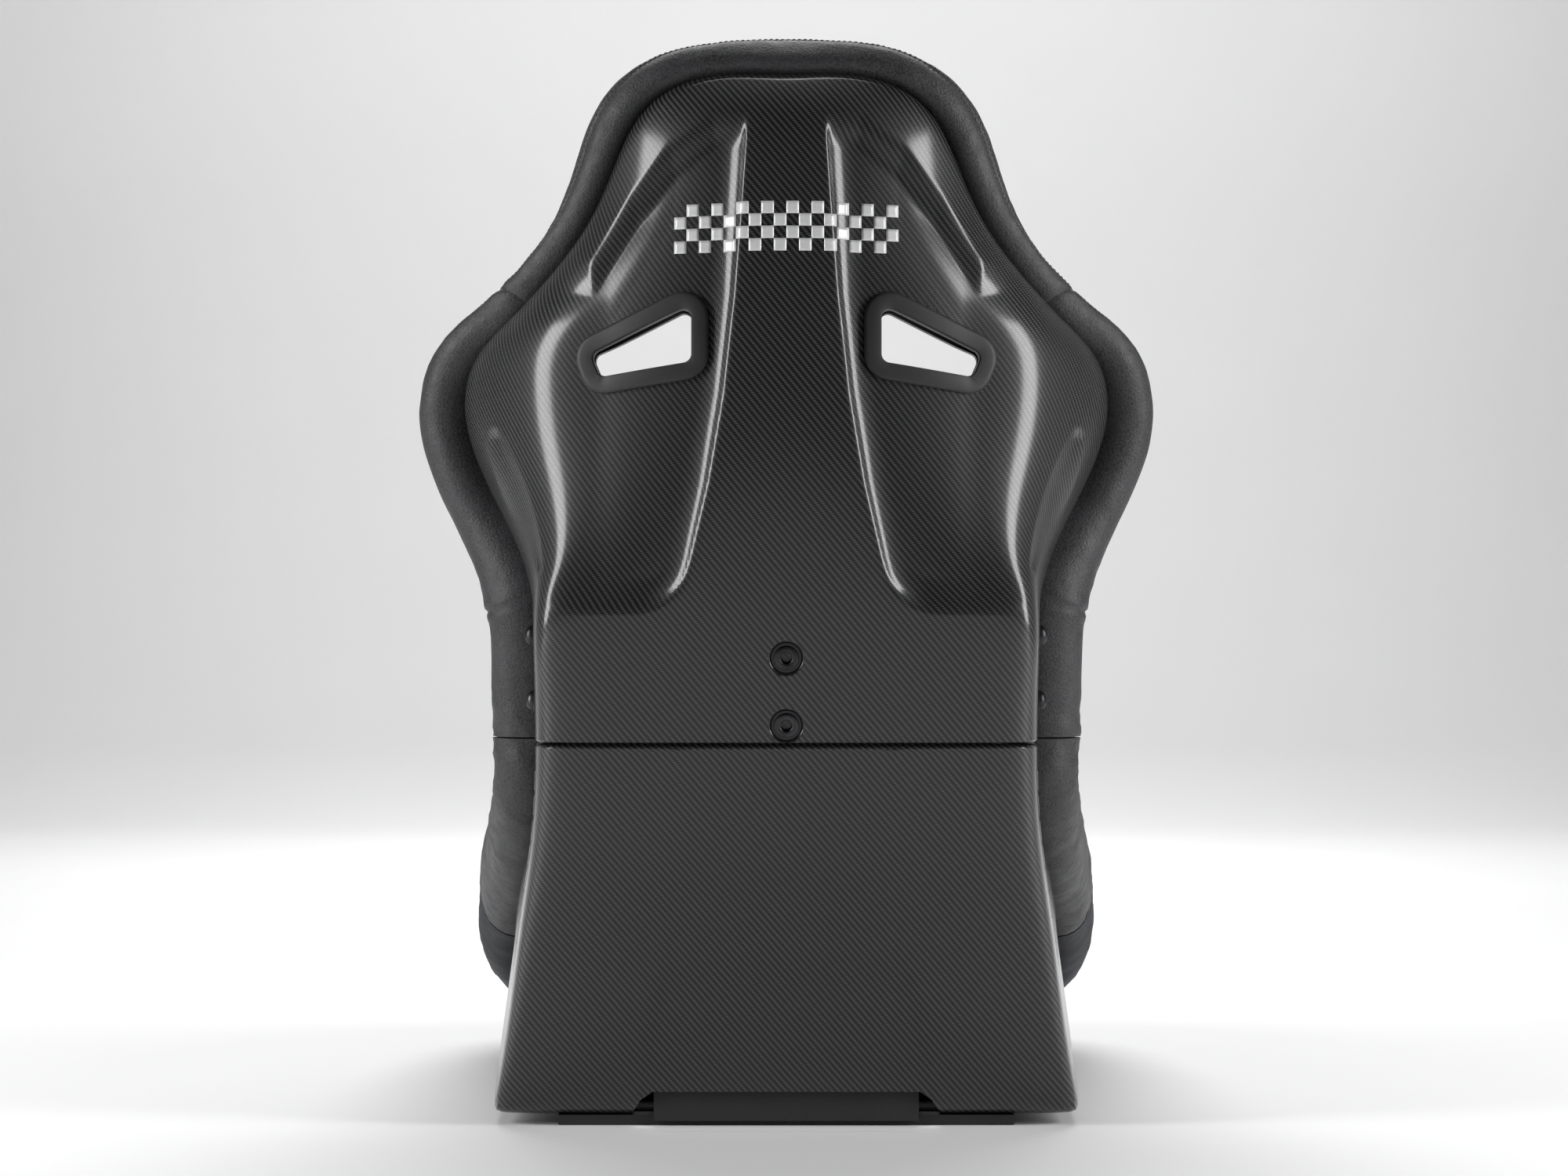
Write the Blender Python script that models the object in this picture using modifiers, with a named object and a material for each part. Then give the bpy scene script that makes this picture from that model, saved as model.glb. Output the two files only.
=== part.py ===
"""Motorsport bucket seat: two-piece moulded shell, padded rims, cushions and height guides.

Metres, +Z up, the seat faces -Y and stands on its under pan at Z = 0.  The occupant's left is +X.
The shell is one smooth surface that runs from the front lip, along the floor, up the back and over
the head.  It is divided into a base shell and a back shell, and the back slides up along the guides.
"""
import math

import bmesh
import bpy
import numpy as np
from mathutils import Matrix, Vector
from mathutils.bvhtree import BVHTree

# ---- driving dimensions -------------------------------------------------------------------------
SHELL_T = 0.0035             # laminate thickness
GAP = 0.0004                 # clearance between pieces that touch
PAD_GAP = 0.0040             # foam to laminate
LAP_GAP = 0.0016             # running gap between the back shell and the lip inside it
TRAVEL = 0.056               # height adjustment, one fastener pitch
RECLINE = math.radians(12.0)     # direction of the slide, leaning back from vertical
SLIDE = np.array([0.0, math.sin(RECLINE), math.cos(RECLINE)])

PART_Z = 0.3185              # top of the base shell's outer skin
PART_GAP = 0.0030            # visible gap above it
JOGGLE_DROP = 0.0014         # how far the hip rolls end below the top of the outer skin
LIP_TOP_Z = 0.411            # top of the lip inside the back shell
LIP_SHORT = 0.015            # share of the half section that the lip stops short of the roll's hem
BASE_X = 0.207               # half width of the shell at the overlap, at its corner
EDGE_X = 0.2125              # the same at the edge of the side wall

# Stations of the shell surface, front lip to head.  Each row of the surface runs from the centre
# plane (y, z), round a corner (x, y, z) with a fullness, to the edge of the laminate (x, y, z).
STATIONS = (
    ((-0.250, 0.0140), (0.000, -0.2970, 0.0160), 3.0, (0.000, -0.304, 0.086)),
    ((-0.243, 0.0130), (0.120, -0.2840, 0.0150), 3.5, (0.130, -0.300, 0.088)),
    ((-0.225, 0.0110), (0.205, -0.2520, 0.0120), 6.0, (0.222, -0.281, 0.097)),
    ((-0.195, 0.0092), (0.240, -0.2040, 0.0092), 12.0, (0.255, -0.240, 0.122)),
    ((-0.140, 0.0088), (0.250, -0.1400, 0.0088), 22.0, (0.2570, -0.184, 0.160)),
    ((-0.050, 0.0088), (0.252, -0.0500, 0.0088), 28.0, (0.2490, -0.115, 0.203)),
    ((0.050, 0.0088), (0.252, 0.0500, 0.0088), 30.0, (0.2375, -0.045, 0.234)),
    ((0.140, 0.0088), (0.2495, 0.1400, 0.0088), 30.0, (0.2275, 0.012, 0.251)),
    ((0.182, 0.0088), (0.2475, 0.1820, 0.0088), 34.0, (0.2240, 0.031, 0.257)),
    ((0.205, 0.0100), (0.2450, 0.2050, 0.0100), 40.0, (0.2210, 0.047, 0.262)),
    ((0.2195, 0.0320), (0.2400, 0.2195, 0.0320), 26.0, (0.2185, 0.064, 0.2695)),
    ((0.2395, 0.1350), (0.2250, 0.2395, 0.1350), 13.0, (0.2160, 0.084, 0.279)),
    ((0.2640, 0.2350), (0.2110, 0.2640, 0.2350), 9.0, (0.2132, 0.0978, 0.2915)),
    ((0.2835, 0.3200), (BASE_X, 0.2835, 0.3200), 7.5, (EDGE_X, 0.1050, 0.3200)),
    ((0.2941, 0.3700), (BASE_X, 0.2941, 0.3700), 7.5, (EDGE_X, 0.1156, 0.3700)),
    ((0.3058, 0.4250), (BASE_X, 0.3058, 0.4250), 7.0, (EDGE_X + 0.001, 0.1273, 0.4250)),
    ((0.3140, 0.4690), (0.204, 0.3140, 0.4690), 3.2, (0.2290, 0.1260, 0.4690)),
    ((0.3210, 0.5120), (0.203, 0.3210, 0.5120), 1.9, (0.2530, 0.1200, 0.5120)),
    ((0.3270, 0.5600), (0.205, 0.3270, 0.5600), 1.35, (0.2775, 0.1220, 0.5600)),
    ((0.3300, 0.6000), (0.207, 0.3300, 0.6000), 1.15, (0.2855, 0.1310, 0.6020)),
    ((0.3310, 0.6350), (0.203, 0.3310, 0.6400), 1.10, (0.2725, 0.1500, 0.6430)),
    ((0.3310, 0.6620), (0.190, 0.3305, 0.6750), 1.05, (0.2420, 0.1720, 0.6710)),
    ((0.3300, 0.6900), (0.168, 0.3290, 0.7080), 1.00, (0.2130, 0.1920, 0.6980)),
    ((0.3280, 0.7200), (0.140, 0.3260, 0.7400), 1.00, (0.1870, 0.2100, 0.7290)),
    ((0.3255, 0.7450), (0.120, 0.3225, 0.7640), 1.00, (0.1690, 0.2240, 0.7600)),
    ((0.3230, 0.7660), (0.106, 0.3190, 0.7870), 1.00, (0.1550, 0.2370, 0.7940)),
    ((0.3205, 0.7830), (0.093, 0.3150, 0.8110), 1.00, (0.1420, 0.2470, 0.8250)),
    ((0.3180, 0.7980), (0.072, 0.3110, 0.8340), 1.00, (0.1170, 0.2570, 0.8550)),
    ((0.3160, 0.8070), (0.046, 0.3080, 0.8460), 1.00, (0.0790, 0.2640, 0.8725)),
    ((0.3150, 0.8110), (0.000, 0.3060, 0.8520), 1.00, (0.0000, 0.2680, 0.8775)),
)
PARTING = 13                 # station at the parting line
LAP_END = 15                 # last station of the straight zone that the back slides along

# relief of the back
RIDGE = ((0.425, 0.104), (0.440, 0.088), (0.470, 0.074), (0.530, 0.060), (0.600, 0.048),
         (0.680, 0.039), (0.750, 0.034), (0.840, 0.028))     # spine panel half width by height
POCKET_DEPTH = 0.011
POCKET_BOTTOM_Z = 0.430
POCKET_TOP = ((0.0, 0.836), (0.060, 0.830), (0.095, 0.806), (0.125, 0.770), (0.160, 0.716))
POCKET_FADE = (0.150, 0.250)
SOFT_EDGE = 0.014

# harness slots: corners of the opening (x, z) from inner top, going round
SLOT_CORNERS = ((0.076, 0.674), (0.158, 0.636), (0.150, 0.617), (0.076, 0.628))
SLOT_BEZEL = 0.014           # width of the bezel round the opening
SLOT_RADIUS = 0.007
SLOT_BETWEEN = 2             # points between the corners of a bezel
SLEEVE_T = 0.002
SLEEVE_CLEAR = 0.0008        # round the sleeve, in the shell and the pad
FLANGE_T = 0.0035
FLANGE_CLEAR = 0.0012        # under the flange, which follows a curved surface
REAR_SLEEVE = 0.013          # length of the sleeves behind their flanges
FRONT_SLEEVE = 0.010

# fasteners
PITCH = TRAVEL               # between the fasteners of a pair, along the slide
BUSH_MID_Z = 0.3629          # middle of the pair of centre bushes
BUSH_FLANGE_R = 0.0100
BUSH_FLANGE_T = 0.0016
BUSH_BARREL_R = 0.0060
BUSH_BORE_R = 0.0048
BUSH_RECESS_R = 0.0115
BUSH_RECESS = 0.0019         # depth of the counterbore in the laminate
SIDE_BOLT_MID_Z = 0.3800     # middle of the pair of side bolts
SIDE_BOLT_Y = 0.190
BOLT_R = 0.0040
BOLT_HEAD_R = 0.0085
BOLT_HEAD_T = 0.0050
WASHER_R = 0.0100
WASHER_T = 0.0020
WASHER_GAP = 0.0012          # under the washer, on the slightly curved side wall
HOLE_CLEAR = 0.0005          # radial, round a shank or barrel
STACK = 2 * SHELL_T + LAP_GAP        # both laminates and the gap between them
PLATE_GAP = 0.0012           # between the lip and its guide plate, filled with adhesive
PLATE_T = 0.0030
PLATE_W = 0.032
PLATE_END = 0.014            # plate past the last fastener position
NUT_T = 0.0065
NUT_R = 0.0075
BUSH_NUT_R = 0.0110
SHANK_OUT = 0.001            # shank past its nut
HOUSING = 0.0235             # half width of the foam pocket over the hardware
HOUSING_Y = (-2.4 * PITCH, 2.2 * PITCH)      # its ends along the slide
HOUSING_Z = 0.026            # its depth from the outer face
NOTCH_CLEAR = 0.003          # of the lip round a shank
CUT_REACH = 0.040            # of cutters past the surface
SLOT_CUT_Y = (0.05, 0.45)    # range of the harness slot cutters

# rims: how far the roll laps over the laminate, stands past its edge, and its thickness behind it
# and in front of it, from the lower end of the back to the head
BACK_RIM = ((0.323, 0.044, 0.022, 0.040, 0.028), (0.440, 0.044, 0.026, 0.042, 0.034),
            (0.520, 0.028, 0.027, 0.032, 0.034), (0.600, 0.022, 0.028, 0.028, 0.034),
            (0.680, 0.020, 0.0245, 0.020, 0.028), (0.760, 0.019, 0.025, 0.015, 0.024),
            (0.880, 0.019, 0.023, 0.012, 0.022))
# the same for the base, by station number from the front lip
BASE_RIM = ((0, 0.052, 0.026, 0.028, 0.026), (3, 0.070, 0.026, 0.038, 0.028),
            (6, 0.070, 0.026, 0.034, 0.030), (10, 0.050, 0.024, 0.038, 0.028),
            (13, 0.044, 0.022, 0.040, 0.028))
BASE_RIM_SPLIT = 4.6         # station where suede front roll and leather hip roll meet
ROLL_CLEAR = 0.0008          # between the laminate and the groove of a roll
ROLL_FULL = 0.8              # exponent of a roll's outline, 1 for an ellipse and less for a fuller one
INNER_SHORT = 0.004          # how much less a roll laps over the inner face than over the outer one
ROLL_GAP = 0.0030            # between rolls that meet end to end
HIP_END = 11.9               # last station of the hip roll before it turns up to the parting line
RIM_STEPS = 7                # points round each half of a roll

# pads
PAD_RIM_GAP = 0.008          # between a pad and the roll beside it
PAD_EDGE_R = 0.030           # width over which a pad's border is rounded
PAD_EDGE_DROP = 0.55         # share of the thickness lost at the border
DEEP_PAD_GAP = 0.0095        # foam to laminate where the lip or the relief lies between them
PAD_BORDER = ((0.342, 0.120), (0.500, 0.135), (0.600, 0.198), (0.700, 0.200))  # half width by height
CENTRE_BORDER = 0.006        # extra gap between the centre pads of the back and the roll
SIDE_PAD_GAP = 0.012         # between the centre pads and the side bolsters
LUMBAR_Z = (0.342, 0.522)    # lower and upper end of each pad of the back, at its centre
UPPER_Z = (0.526, 0.700)
HEAD_Z = 0.706
SIDE_Z = (0.348, 0.650)
LUMBAR_T = 0.032
UPPER_T = 0.034
HEAD_T = 0.032
SIDE_T = 0.040
THIGH_ROWS = (0.0, 4.45)     # first and last station of each pad of the base
SEAT_ROWS = (4.55, 7.6)
TAIL_ROWS = (10.2, 12.8)
HIP_ROWS = (3.4, 12.0)
THIGH_T = 0.080
SEAT_T = 0.056
TAIL_T = 0.030
HIP_T = 0.022
HIP_FROM_CORNER = 0.050      # from the corner of the shell up to the lower border of a hip bolster
FLOOR_PAD_X = 0.194          # half width of the seat and thigh cushions
FLOOR_BORDER = 0.016         # extra gap between them and the front roll
TAIL_X = 0.150
UP = (0.0, 0.0, 1.0)

# pieces that ride on the back, by the start of their names
BACK_PIECES = ("back_shell", "rim_cover", "head_pad", "upper_back_pad", "lumbar_pad", "side_",
               "harness_", "bush_")

# crotch strap slot and floor mounts
CROTCH_Y = -0.030
CROTCH_SIZE = (0.090, 0.036)
CROTCH_FRAME = 0.010
CROTCH_TRIM_T = 0.0025
CROTCH_SLEEVE = 0.020
TRIM_RECESS = 0.0002         # of the lower trim's face above the underside
PAN_HALF_X = 0.190
PAN_Y = (-0.225, 0.206)
UPSTAND_Y = (0.190, 0.211)   # the pan's block that fills the cut-out of the shell
PAN_TOP = 0.0080
CUT_HALF_X = 0.111           # cut-out of the base shell above the upstand
CUT_Y = (0.187, 0.260)
CUT_TOP_Z = 0.0290
INSERT_XY = (0.1450, 0.1450)         # half spacing of the floor inserts
INSERT_MID_Y = -0.020
INSERT_R = 0.011
INSERT_BORE_R = 0.0042
INSERT_TOP = 0.0078


# ---- the shell surface ----------------------------------------------------------------------------
def fit_spline(params, values):
    """Natural cubic spline through rows of values."""
    params = np.asarray(params, float)
    values = np.asarray(values, float)
    steps = np.diff(params)
    count = len(params)
    matrix = np.eye(count)
    right = np.zeros_like(values)
    for i in range(1, count - 1):
        matrix[i, i - 1:i + 2] = steps[i - 1], 2 * (steps[i - 1] + steps[i]), steps[i]
        rise = (values[i + 1] - values[i]) / steps[i]
        right[i] = 3 * (rise - (values[i] - values[i - 1]) / steps[i - 1])
    bend = np.linalg.solve(matrix, right)

    def evaluate(at):
        i = int(np.clip(np.searchsorted(params, at) - 1, 0, count - 2))
        h = steps[i]
        d = at - params[i]
        slope = (values[i + 1] - values[i]) / h - h * (2 * bend[i] + bend[i + 1]) / 3
        return values[i] + d * (slope + d * (bend[i] + d * (bend[i + 1] - bend[i]) / (3 * h)))
    return evaluate


def station_values(station):
    (cy, cz), (kx, ky, kz), fullness, (ex, ey, ez) = station
    return np.array([0.0, cy, cz, kx, ky, kz, ex, ey, ez, math.log(fullness)])


def make_stations():
    """Station parameters and the spline through them, continued past both ends by reflection."""
    rows = [station_values(s) for s in STATIONS]
    mirror = np.array([1, 1, 1, -1, 1, 1, -1, 1, 1, 1])
    extra = 3
    rows = ([rows[i] * mirror for i in range(extra, 0, -1)] + rows
            + [rows[-1 - i] * mirror for i in range(1, extra + 1)])
    rows = np.array(rows)
    moves = np.diff(rows[:, :9], axis=0).reshape(-1, 3, 3)
    lengths = np.linalg.norm(moves, axis=2) @ np.array([0.4, 0.2, 0.4])
    params = np.concatenate([[0.0], np.cumsum(lengths)])
    params = (params - params[extra]) / (params[-1 - extra] - params[extra])
    return params[extra:-extra], fit_spline(params, rows)


STATION_V, STATION_AT = make_stations()
ROW_T = np.linspace(0.0, 1.0, 161)


def base_row(v, u):
    """Points of the row at v, at the shares u of its length from the centre to the edge."""
    row = STATION_AT(v)
    centre, corner, edge, fullness = row[0:3], row[3:6], row[6:9], math.exp(row[9])
    t = ROW_T[:, None]
    mid = 2 * fullness * t * (1 - t)
    line = ((1 - t) ** 2 * centre + mid * corner + t ** 2 * edge) / ((1 - t) ** 2 + mid + t ** 2)
    run = np.concatenate([[0.0], np.cumsum(np.linalg.norm(np.diff(line, axis=0), axis=1))])
    at = np.asarray(u) * run[-1]
    return np.stack([np.interp(at, run, line[:, k]) for k in range(3)], axis=-1)


def smooth(x, low, high):
    s = np.clip((x - low) / (high - low), 0.0, 1.0)
    return s * s * (3 - 2 * s)


def pocket_relief(x, z):
    """Depth of the slot pockets beside the spine panel, 0 to 1."""
    ridge = np.interp(z, [p[0] for p in RIDGE], [p[1] for p in RIDGE])
    top = np.interp(x, [p[0] for p in POCKET_TOP], [p[1] for p in POCKET_TOP])
    beside = smooth(x, ridge, ridge + SOFT_EDGE)
    above = smooth(z, POCKET_BOTTOM_Z, POCKET_BOTTOM_Z + SOFT_EDGE)
    below = 1 - smooth(z, top - 2 * SOFT_EDGE, top)
    inside = 1 - smooth(x, *POCKET_FADE)
    return beside * above * below * inside


def shell_row(v, u, inward=0.0):
    """Points of the moulded surface, offset inward along its normals, and the normals."""
    u = np.asarray(u, float)
    step = 0.004
    u_n = np.clip(u, 0.02, 0.99)
    v_n = min(v, 0.992)
    along_v = base_row(v_n + step, u_n) - base_row(v_n - step, u_n)
    along_u = base_row(v_n, np.minimum(u_n + step, 1.0)) - base_row(v_n, u_n - step)
    normal = np.cross(along_v, along_u)
    normal[u < 1e-6, 0] = 0.0
    normal /= np.linalg.norm(normal, axis=1)[:, None]
    points = base_row(v, u)
    depth = POCKET_DEPTH * pocket_relief(points[:, 0], points[:, 2])
    rear = np.clip(normal[:, 1], 0.0, 1.0)
    points = points - normal * (depth * rear + inward)[:, None]
    if v < 1e-6 or v > 1 - 1e-6:
        points[:, 0] = 0.0
    return points, normal


def v_of_station(index):
    """Row parameter at a station number, which may lie between two stations."""
    return float(np.interp(index, range(len(STATION_V)), STATION_V))


def v_at_height(z):
    """Row of the back whose centre lies at height z."""
    low, high = STATION_V[PARTING - 2], 1.0
    for _ in range(40):
        mid = 0.5 * (low + high)
        if STATION_AT(mid)[2] < z:
            low = mid
        else:
            high = mid
    return 0.5 * (low + high)


# ---- Blender helpers --------------------------------------------------------------------------------
def clear_scene():
    for item in list(bpy.data.objects):
        bpy.data.objects.remove(item, do_unlink=True)


def make_collection(name):
    collection = bpy.data.collections.new(name)
    bpy.context.scene.collection.children.link(collection)
    return collection


def material(name, colour, roughness, metallic=0.0):
    """Principled material; a second call with the same name gives the same material."""
    found = bpy.data.materials.get(name)
    if found:
        return found
    made = bpy.data.materials.new(name)
    made.use_nodes = True
    shader = made.node_tree.nodes["Principled BSDF"]
    shader.inputs["Base Color"].default_value = (*colour, 1.0)
    shader.inputs["Roughness"].default_value = roughness
    shader.inputs["Metallic"].default_value = metallic
    return made


def carbon():
    return material("carbon", (0.035, 0.035, 0.037), 0.25)


def leather():
    return material("leather", (0.030, 0.030, 0.032), 0.55)


def suede():
    return material("suede", (0.012, 0.012, 0.012), 0.95)


def black_plastic():
    return material("black_plastic", (0.020, 0.020, 0.021), 0.50)


def dark_steel():
    return material("dark_steel", (0.16, 0.16, 0.17), 0.35, 1.0)


def zinc_steel():
    return material("zinc_steel", (0.45, 0.45, 0.46), 0.35, 1.0)


def add_object(name, mesh, look, smooth_angle=None):
    item = bpy.data.objects.new(name, mesh)
    SEAT.objects.link(item)
    if look:
        mesh.materials.append(look)
    if smooth_angle:
        mesh.shade_smooth()
        mesh.set_sharp_from_angle(angle=math.radians(smooth_angle))
    return item


def mesh_from(name, points, faces):
    mesh = bpy.data.meshes.new(name)
    mesh.from_pydata([tuple(p) for p in points], [], faces)
    mesh.update()
    return mesh


def grid_faces(rows, columns):
    return [(r * columns + c, (r + 1) * columns + c, (r + 1) * columns + c + 1, r * columns + c + 1)
            for r in range(rows - 1) for c in range(columns - 1)]


def split_last_column(faces, columns):
    """Cut the quads of a grid's last column from hem to edge, as the groove of a roll is cut."""
    made = []
    for face in faces:
        if face[0] % columns == columns - 2:
            a, b, c, d = face
            made += [(a, b, c), (a, c, d)]
        else:
            made.append(face)
    return made


def make_cutter(item):
    for collection in list(item.users_collection):
        collection.objects.unlink(item)
    CUTTERS.objects.link(item)
    item.hide_render = True
    item.display_type = 'WIRE'
    return item


def cut(item, cutter):
    modifier = item.modifiers.new("cut_" + cutter.name, 'BOOLEAN')
    modifier.operation = 'DIFFERENCE'
    modifier.object = cutter


def box_mesh(name, low, high):
    mesh = bpy.data.meshes.new(name)
    form = bmesh.new()
    bmesh.ops.create_cube(form, size=1.0)
    low, high = Vector(low), Vector(high)
    for vert in form.verts:
        vert.co = Vector((low[k] + (vert.co[k] + 0.5) * (high[k] - low[k]) for k in range(3)))
    form.to_mesh(mesh)
    form.free()
    return mesh


def frame_matrix(origin, out, up):
    """Matrix whose Z axis points out of the surface and whose Y axis follows up."""
    out = Vector(out).normalized()
    side = Vector(up).cross(out).normalized()
    matrix = Matrix((side, out.cross(side), out)).transposed().to_4x4()
    matrix.translation = Vector(origin)
    return matrix


def turned(name, profile, look, matrix, sides=16, collection=None):
    """Body turned round its local Z axis from an (r, z) outline that runs down its outer side."""
    mesh = bpy.data.meshes.new(name)
    closed = profile[0][0] > 0
    edges = [(i, i + 1) for i in range(len(profile) - 1)]
    if closed:
        edges.append((len(profile) - 1, 0))
    mesh.from_pydata([(r, 0.0, z) for r, z in profile], edges, [])
    item = bpy.data.objects.new(name, mesh)
    (collection or SEAT).objects.link(item)
    if look:
        mesh.materials.append(look)
    screw = item.modifiers.new("turn", 'SCREW')
    screw.steps = sides
    screw.render_steps = sides
    screw.use_merge_vertices = True
    screw.merge_threshold = 0.00005
    item.matrix_world = matrix
    return item


# ---- shells -------------------------------------------------------------------------------------------
U_SHELL = np.array([0.0, 0.13, 0.25, 0.36, 0.46, 0.54, 0.60, 0.65, 0.70, 0.77, 0.87, 1.0])
BACK_ROWS = (4, 18)          # in the straight zone and above it
BASE_ROWS = (8, 11)          # ahead of the split of the base's rolls and behind it


def row_length(v):
    line = base_row(v, np.linspace(0.0, 1.0, 60))
    return float(np.linalg.norm(np.diff(line, axis=0), axis=1).sum())


def hem_share(v):
    """Share of the row where the roll's hem lies on the laminate."""
    return 1.0 - roll_size(v)[0] / row_length(v)


def roll_size(v):
    """Lap, stand and thicknesses of the roll at v, on the base or on the back."""
    if v < v_of_station(PARTING) - 1e-6:
        stations = [v_of_station(row[0]) for row in BASE_RIM]
        return [float(np.interp(v, stations, [row[k] for row in BASE_RIM])) for k in range(1, 5)]
    heights = [row[0] for row in BACK_RIM]
    z = STATION_AT(v)[8]
    return [float(np.interp(z, heights, [row[k] for row in BACK_RIM])) for k in range(1, 5)]


def shell_shares(v):
    """Columns of the shell mesh: the last two are the roll's hem and the edge."""
    return np.append(U_SHELL * hem_share(v), 1.0)


def back_levels():
    start = v_of_station(PARTING)
    lap_end = v_of_station(LAP_END)
    return np.concatenate([np.linspace(start, lap_end, BACK_ROWS[0])[:-1],
                           np.linspace(lap_end, 1.0, BACK_ROWS[1])])


def base_levels():
    """Rows of the base, with one at the split of its rolls and one where the hip roll turns up."""
    split, turn = v_of_station(BASE_RIM_SPLIT), v_of_station(HIP_END)
    return np.concatenate([np.linspace(0.0, split, BASE_ROWS[0]),
                           np.linspace(split, turn, BASE_ROWS[1])[1:], [v_of_station(PARTING)]])


def solid_sheet(name, rows, look):
    """Shell of laminate thickness built inward from rows that start on the centre plane."""
    points = np.concatenate(rows)
    columns = len(rows[0])
    mesh = mesh_from(name, points, split_last_column(grid_faces(len(rows), columns), columns))
    item = add_object(name, mesh, look)
    mirror = item.modifiers.new("mirror", 'MIRROR')
    mirror.use_axis = (True, False, False)
    mirror.merge_threshold = 0.00005
    mirror.use_clip = True
    thick = item.modifiers.new("laminate", 'SOLIDIFY')
    thick.thickness = SHELL_T
    thick.offset = -1.0
    mesh.shade_smooth()
    return item


def plane_shift(points, z):
    """Move a row's points along the slide direction onto the level z."""
    return points + ((z - points[:, 2]) / SLIDE[2])[:, None] * SLIDE


def make_back_shell():
    rows = [shell_row(v, shell_shares(v))[0] for v in back_levels()]
    rows[0] = plane_shift(rows[0], PART_Z + PART_GAP)
    return solid_sheet("back_shell", rows, carbon())


def make_base_shell():
    """Outer skin up to the parting line, then the joggled lip inside the back shell."""
    levels = base_levels()
    rows = [shell_row(v, shell_shares(v))[0] for v in levels]
    rows[-1] = plane_shift(rows[-1], PART_Z)
    shares = shell_shares(levels[-1])
    shares[-1] = shares[-2] - LIP_SHORT
    shares[-2] = 0.5 * (shares[-1] + shares[-3])
    lip = shell_row(levels[-1], shares, SHELL_T + LAP_GAP)[0]
    for z in (PART_Z + PART_GAP, 0.5 * (PART_Z + LIP_TOP_Z), LIP_TOP_Z):
        rows.append(plane_shift(lip, z))
    return solid_sheet("base_shell", rows, carbon())


# ---- rims ---------------------------------------------------------------------------------------------
def edge_frame(v):
    """Edge point, direction from hem to edge, outer normal and direction along the edge at v."""
    step = 0.003
    along = STATION_AT(v + step)[6:9] - STATION_AT(v - step)[6:9]
    along /= np.linalg.norm(along)
    hem, edge = shell_row(v, [hem_share(v), 1.0])[0]
    out = edge - hem
    out /= np.linalg.norm(out)
    normal = np.cross(along, out)
    return edge, out, normal / np.linalg.norm(normal), along


def rim_outline(lap, stand, behind, front):
    """Section of a roll with a notch for the laminate: (outward, normal) pairs."""
    half = 0.5 * (stand + lap)
    middle = 0.5 * (stand - lap)
    outside = ROLL_CLEAR
    inside = -SHELL_T - ROLL_CLEAR
    angles = np.linspace(math.pi, 0.0, RIM_STEPS)
    rear = [(middle + half * math.cos(a), outside + behind * math.sin(a) ** ROLL_FULL) for a in angles]
    half -= 0.5 * INNER_SHORT
    middle += 0.5 * INNER_SHORT
    face = [(middle + half * math.cos(a), inside - front * math.sin(a) ** ROLL_FULL)
            for a in angles[::-1]]
    notch = [(ROLL_CLEAR, inside), (ROLL_CLEAR, outside)]
    return rear + face + notch


def make_roll(name, levels, look, shifts=(0.0, 0.0), planes=(None, None)):
    """Roll swept along the edge.  Its ends are moved along the edge by shifts, or onto level planes."""
    points = []
    last = len(levels) - 1
    for i, v in enumerate(levels):
        origin, out, normal, along = edge_frame(v)
        if i in (0, last):
            origin = origin + along * shifts[i == last]
        section = np.array([origin + out * a + normal * b for a, b in rim_outline(*roll_size(v))])
        if i in (0, last) and planes[i == last]:
            section = plane_shift(section, planes[i == last])
        points += list(section)
    ring = len(points) // len(levels)
    faces = []
    groove_in, groove_out = ring - 3, ring - 1
    for r in range(last):
        for c in range(ring):
            d = (c + 1) % ring
            low_c, low_d, high_d, high_c = r * ring + c, r * ring + d, (r + 1) * ring + d, (r + 1) * ring + c
            if c == groove_in:
                faces += [(low_c, low_d, high_d), (low_c, high_d, high_c)]
            elif c == groove_out:
                faces += [(low_c, low_d, high_c), (low_d, high_d, high_c)]
            else:
                faces.append((low_c, low_d, high_d, high_c))
    mesh = mesh_from(name, points, faces)
    form = bmesh.new()
    form.from_mesh(mesh)
    form.verts.ensure_lookup_table()
    ends = [(levels[0], 0), (levels[-1], last * ring)]
    for v, first in ends:
        if 0.0 < v < 1.0:
            form.faces.new([form.verts[first + c] for c in range(ring)])
    bmesh.ops.recalc_face_normals(form, faces=form.faces)
    form.to_mesh(mesh)
    form.free()
    item = add_object(name, mesh, look)
    if 0.0 in (levels[0], levels[-1]) or 1.0 in (levels[0], levels[-1]):
        mirror_half(item)
    mesh.shade_smooth()
    return item


def mirror_half(item):
    mirror = item.modifiers.new("mirror", 'MIRROR')
    mirror.use_axis = (True, False, False)
    mirror.merge_threshold = 0.00005
    mirror.use_clip = True


def mirrored_copy(item, name):
    """Separate object with the mesh reflected to the other side of the centre plane."""
    mesh = item.data.copy()
    mesh.name = name
    mesh.transform(Matrix.Scale(-1.0, 4, (1.0, 0.0, 0.0)))
    mesh.flip_normals()
    made = bpy.data.objects.new(name, mesh)
    SEAT.objects.link(made)
    return made


def make_rims():
    levels = base_levels()
    front = levels[:BASE_ROWS[0]]
    hip = levels[BASE_ROWS[0] - 1:]
    half = 0.5 * ROLL_GAP
    make_roll("rim_cover", back_levels(), leather(), planes=(PART_Z + PART_GAP, None))
    make_roll("front_roll", front, suede(), shifts=(0.0, -half))
    left = make_roll("hip_roll_left", hip, leather(), shifts=(half, 0.0), planes=(None, PART_Z - JOGGLE_DROP))
    mirrored_copy(left, "hip_roll_right")


# ---- pads ---------------------------------------------------------------------------------------------
def rim_border(v, extra=0.0):
    """Share of the row where a pad ends beside the roll."""
    return 1.0 - (roll_size(v)[0] + PAD_RIM_GAP + extra) / row_length(v)


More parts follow.
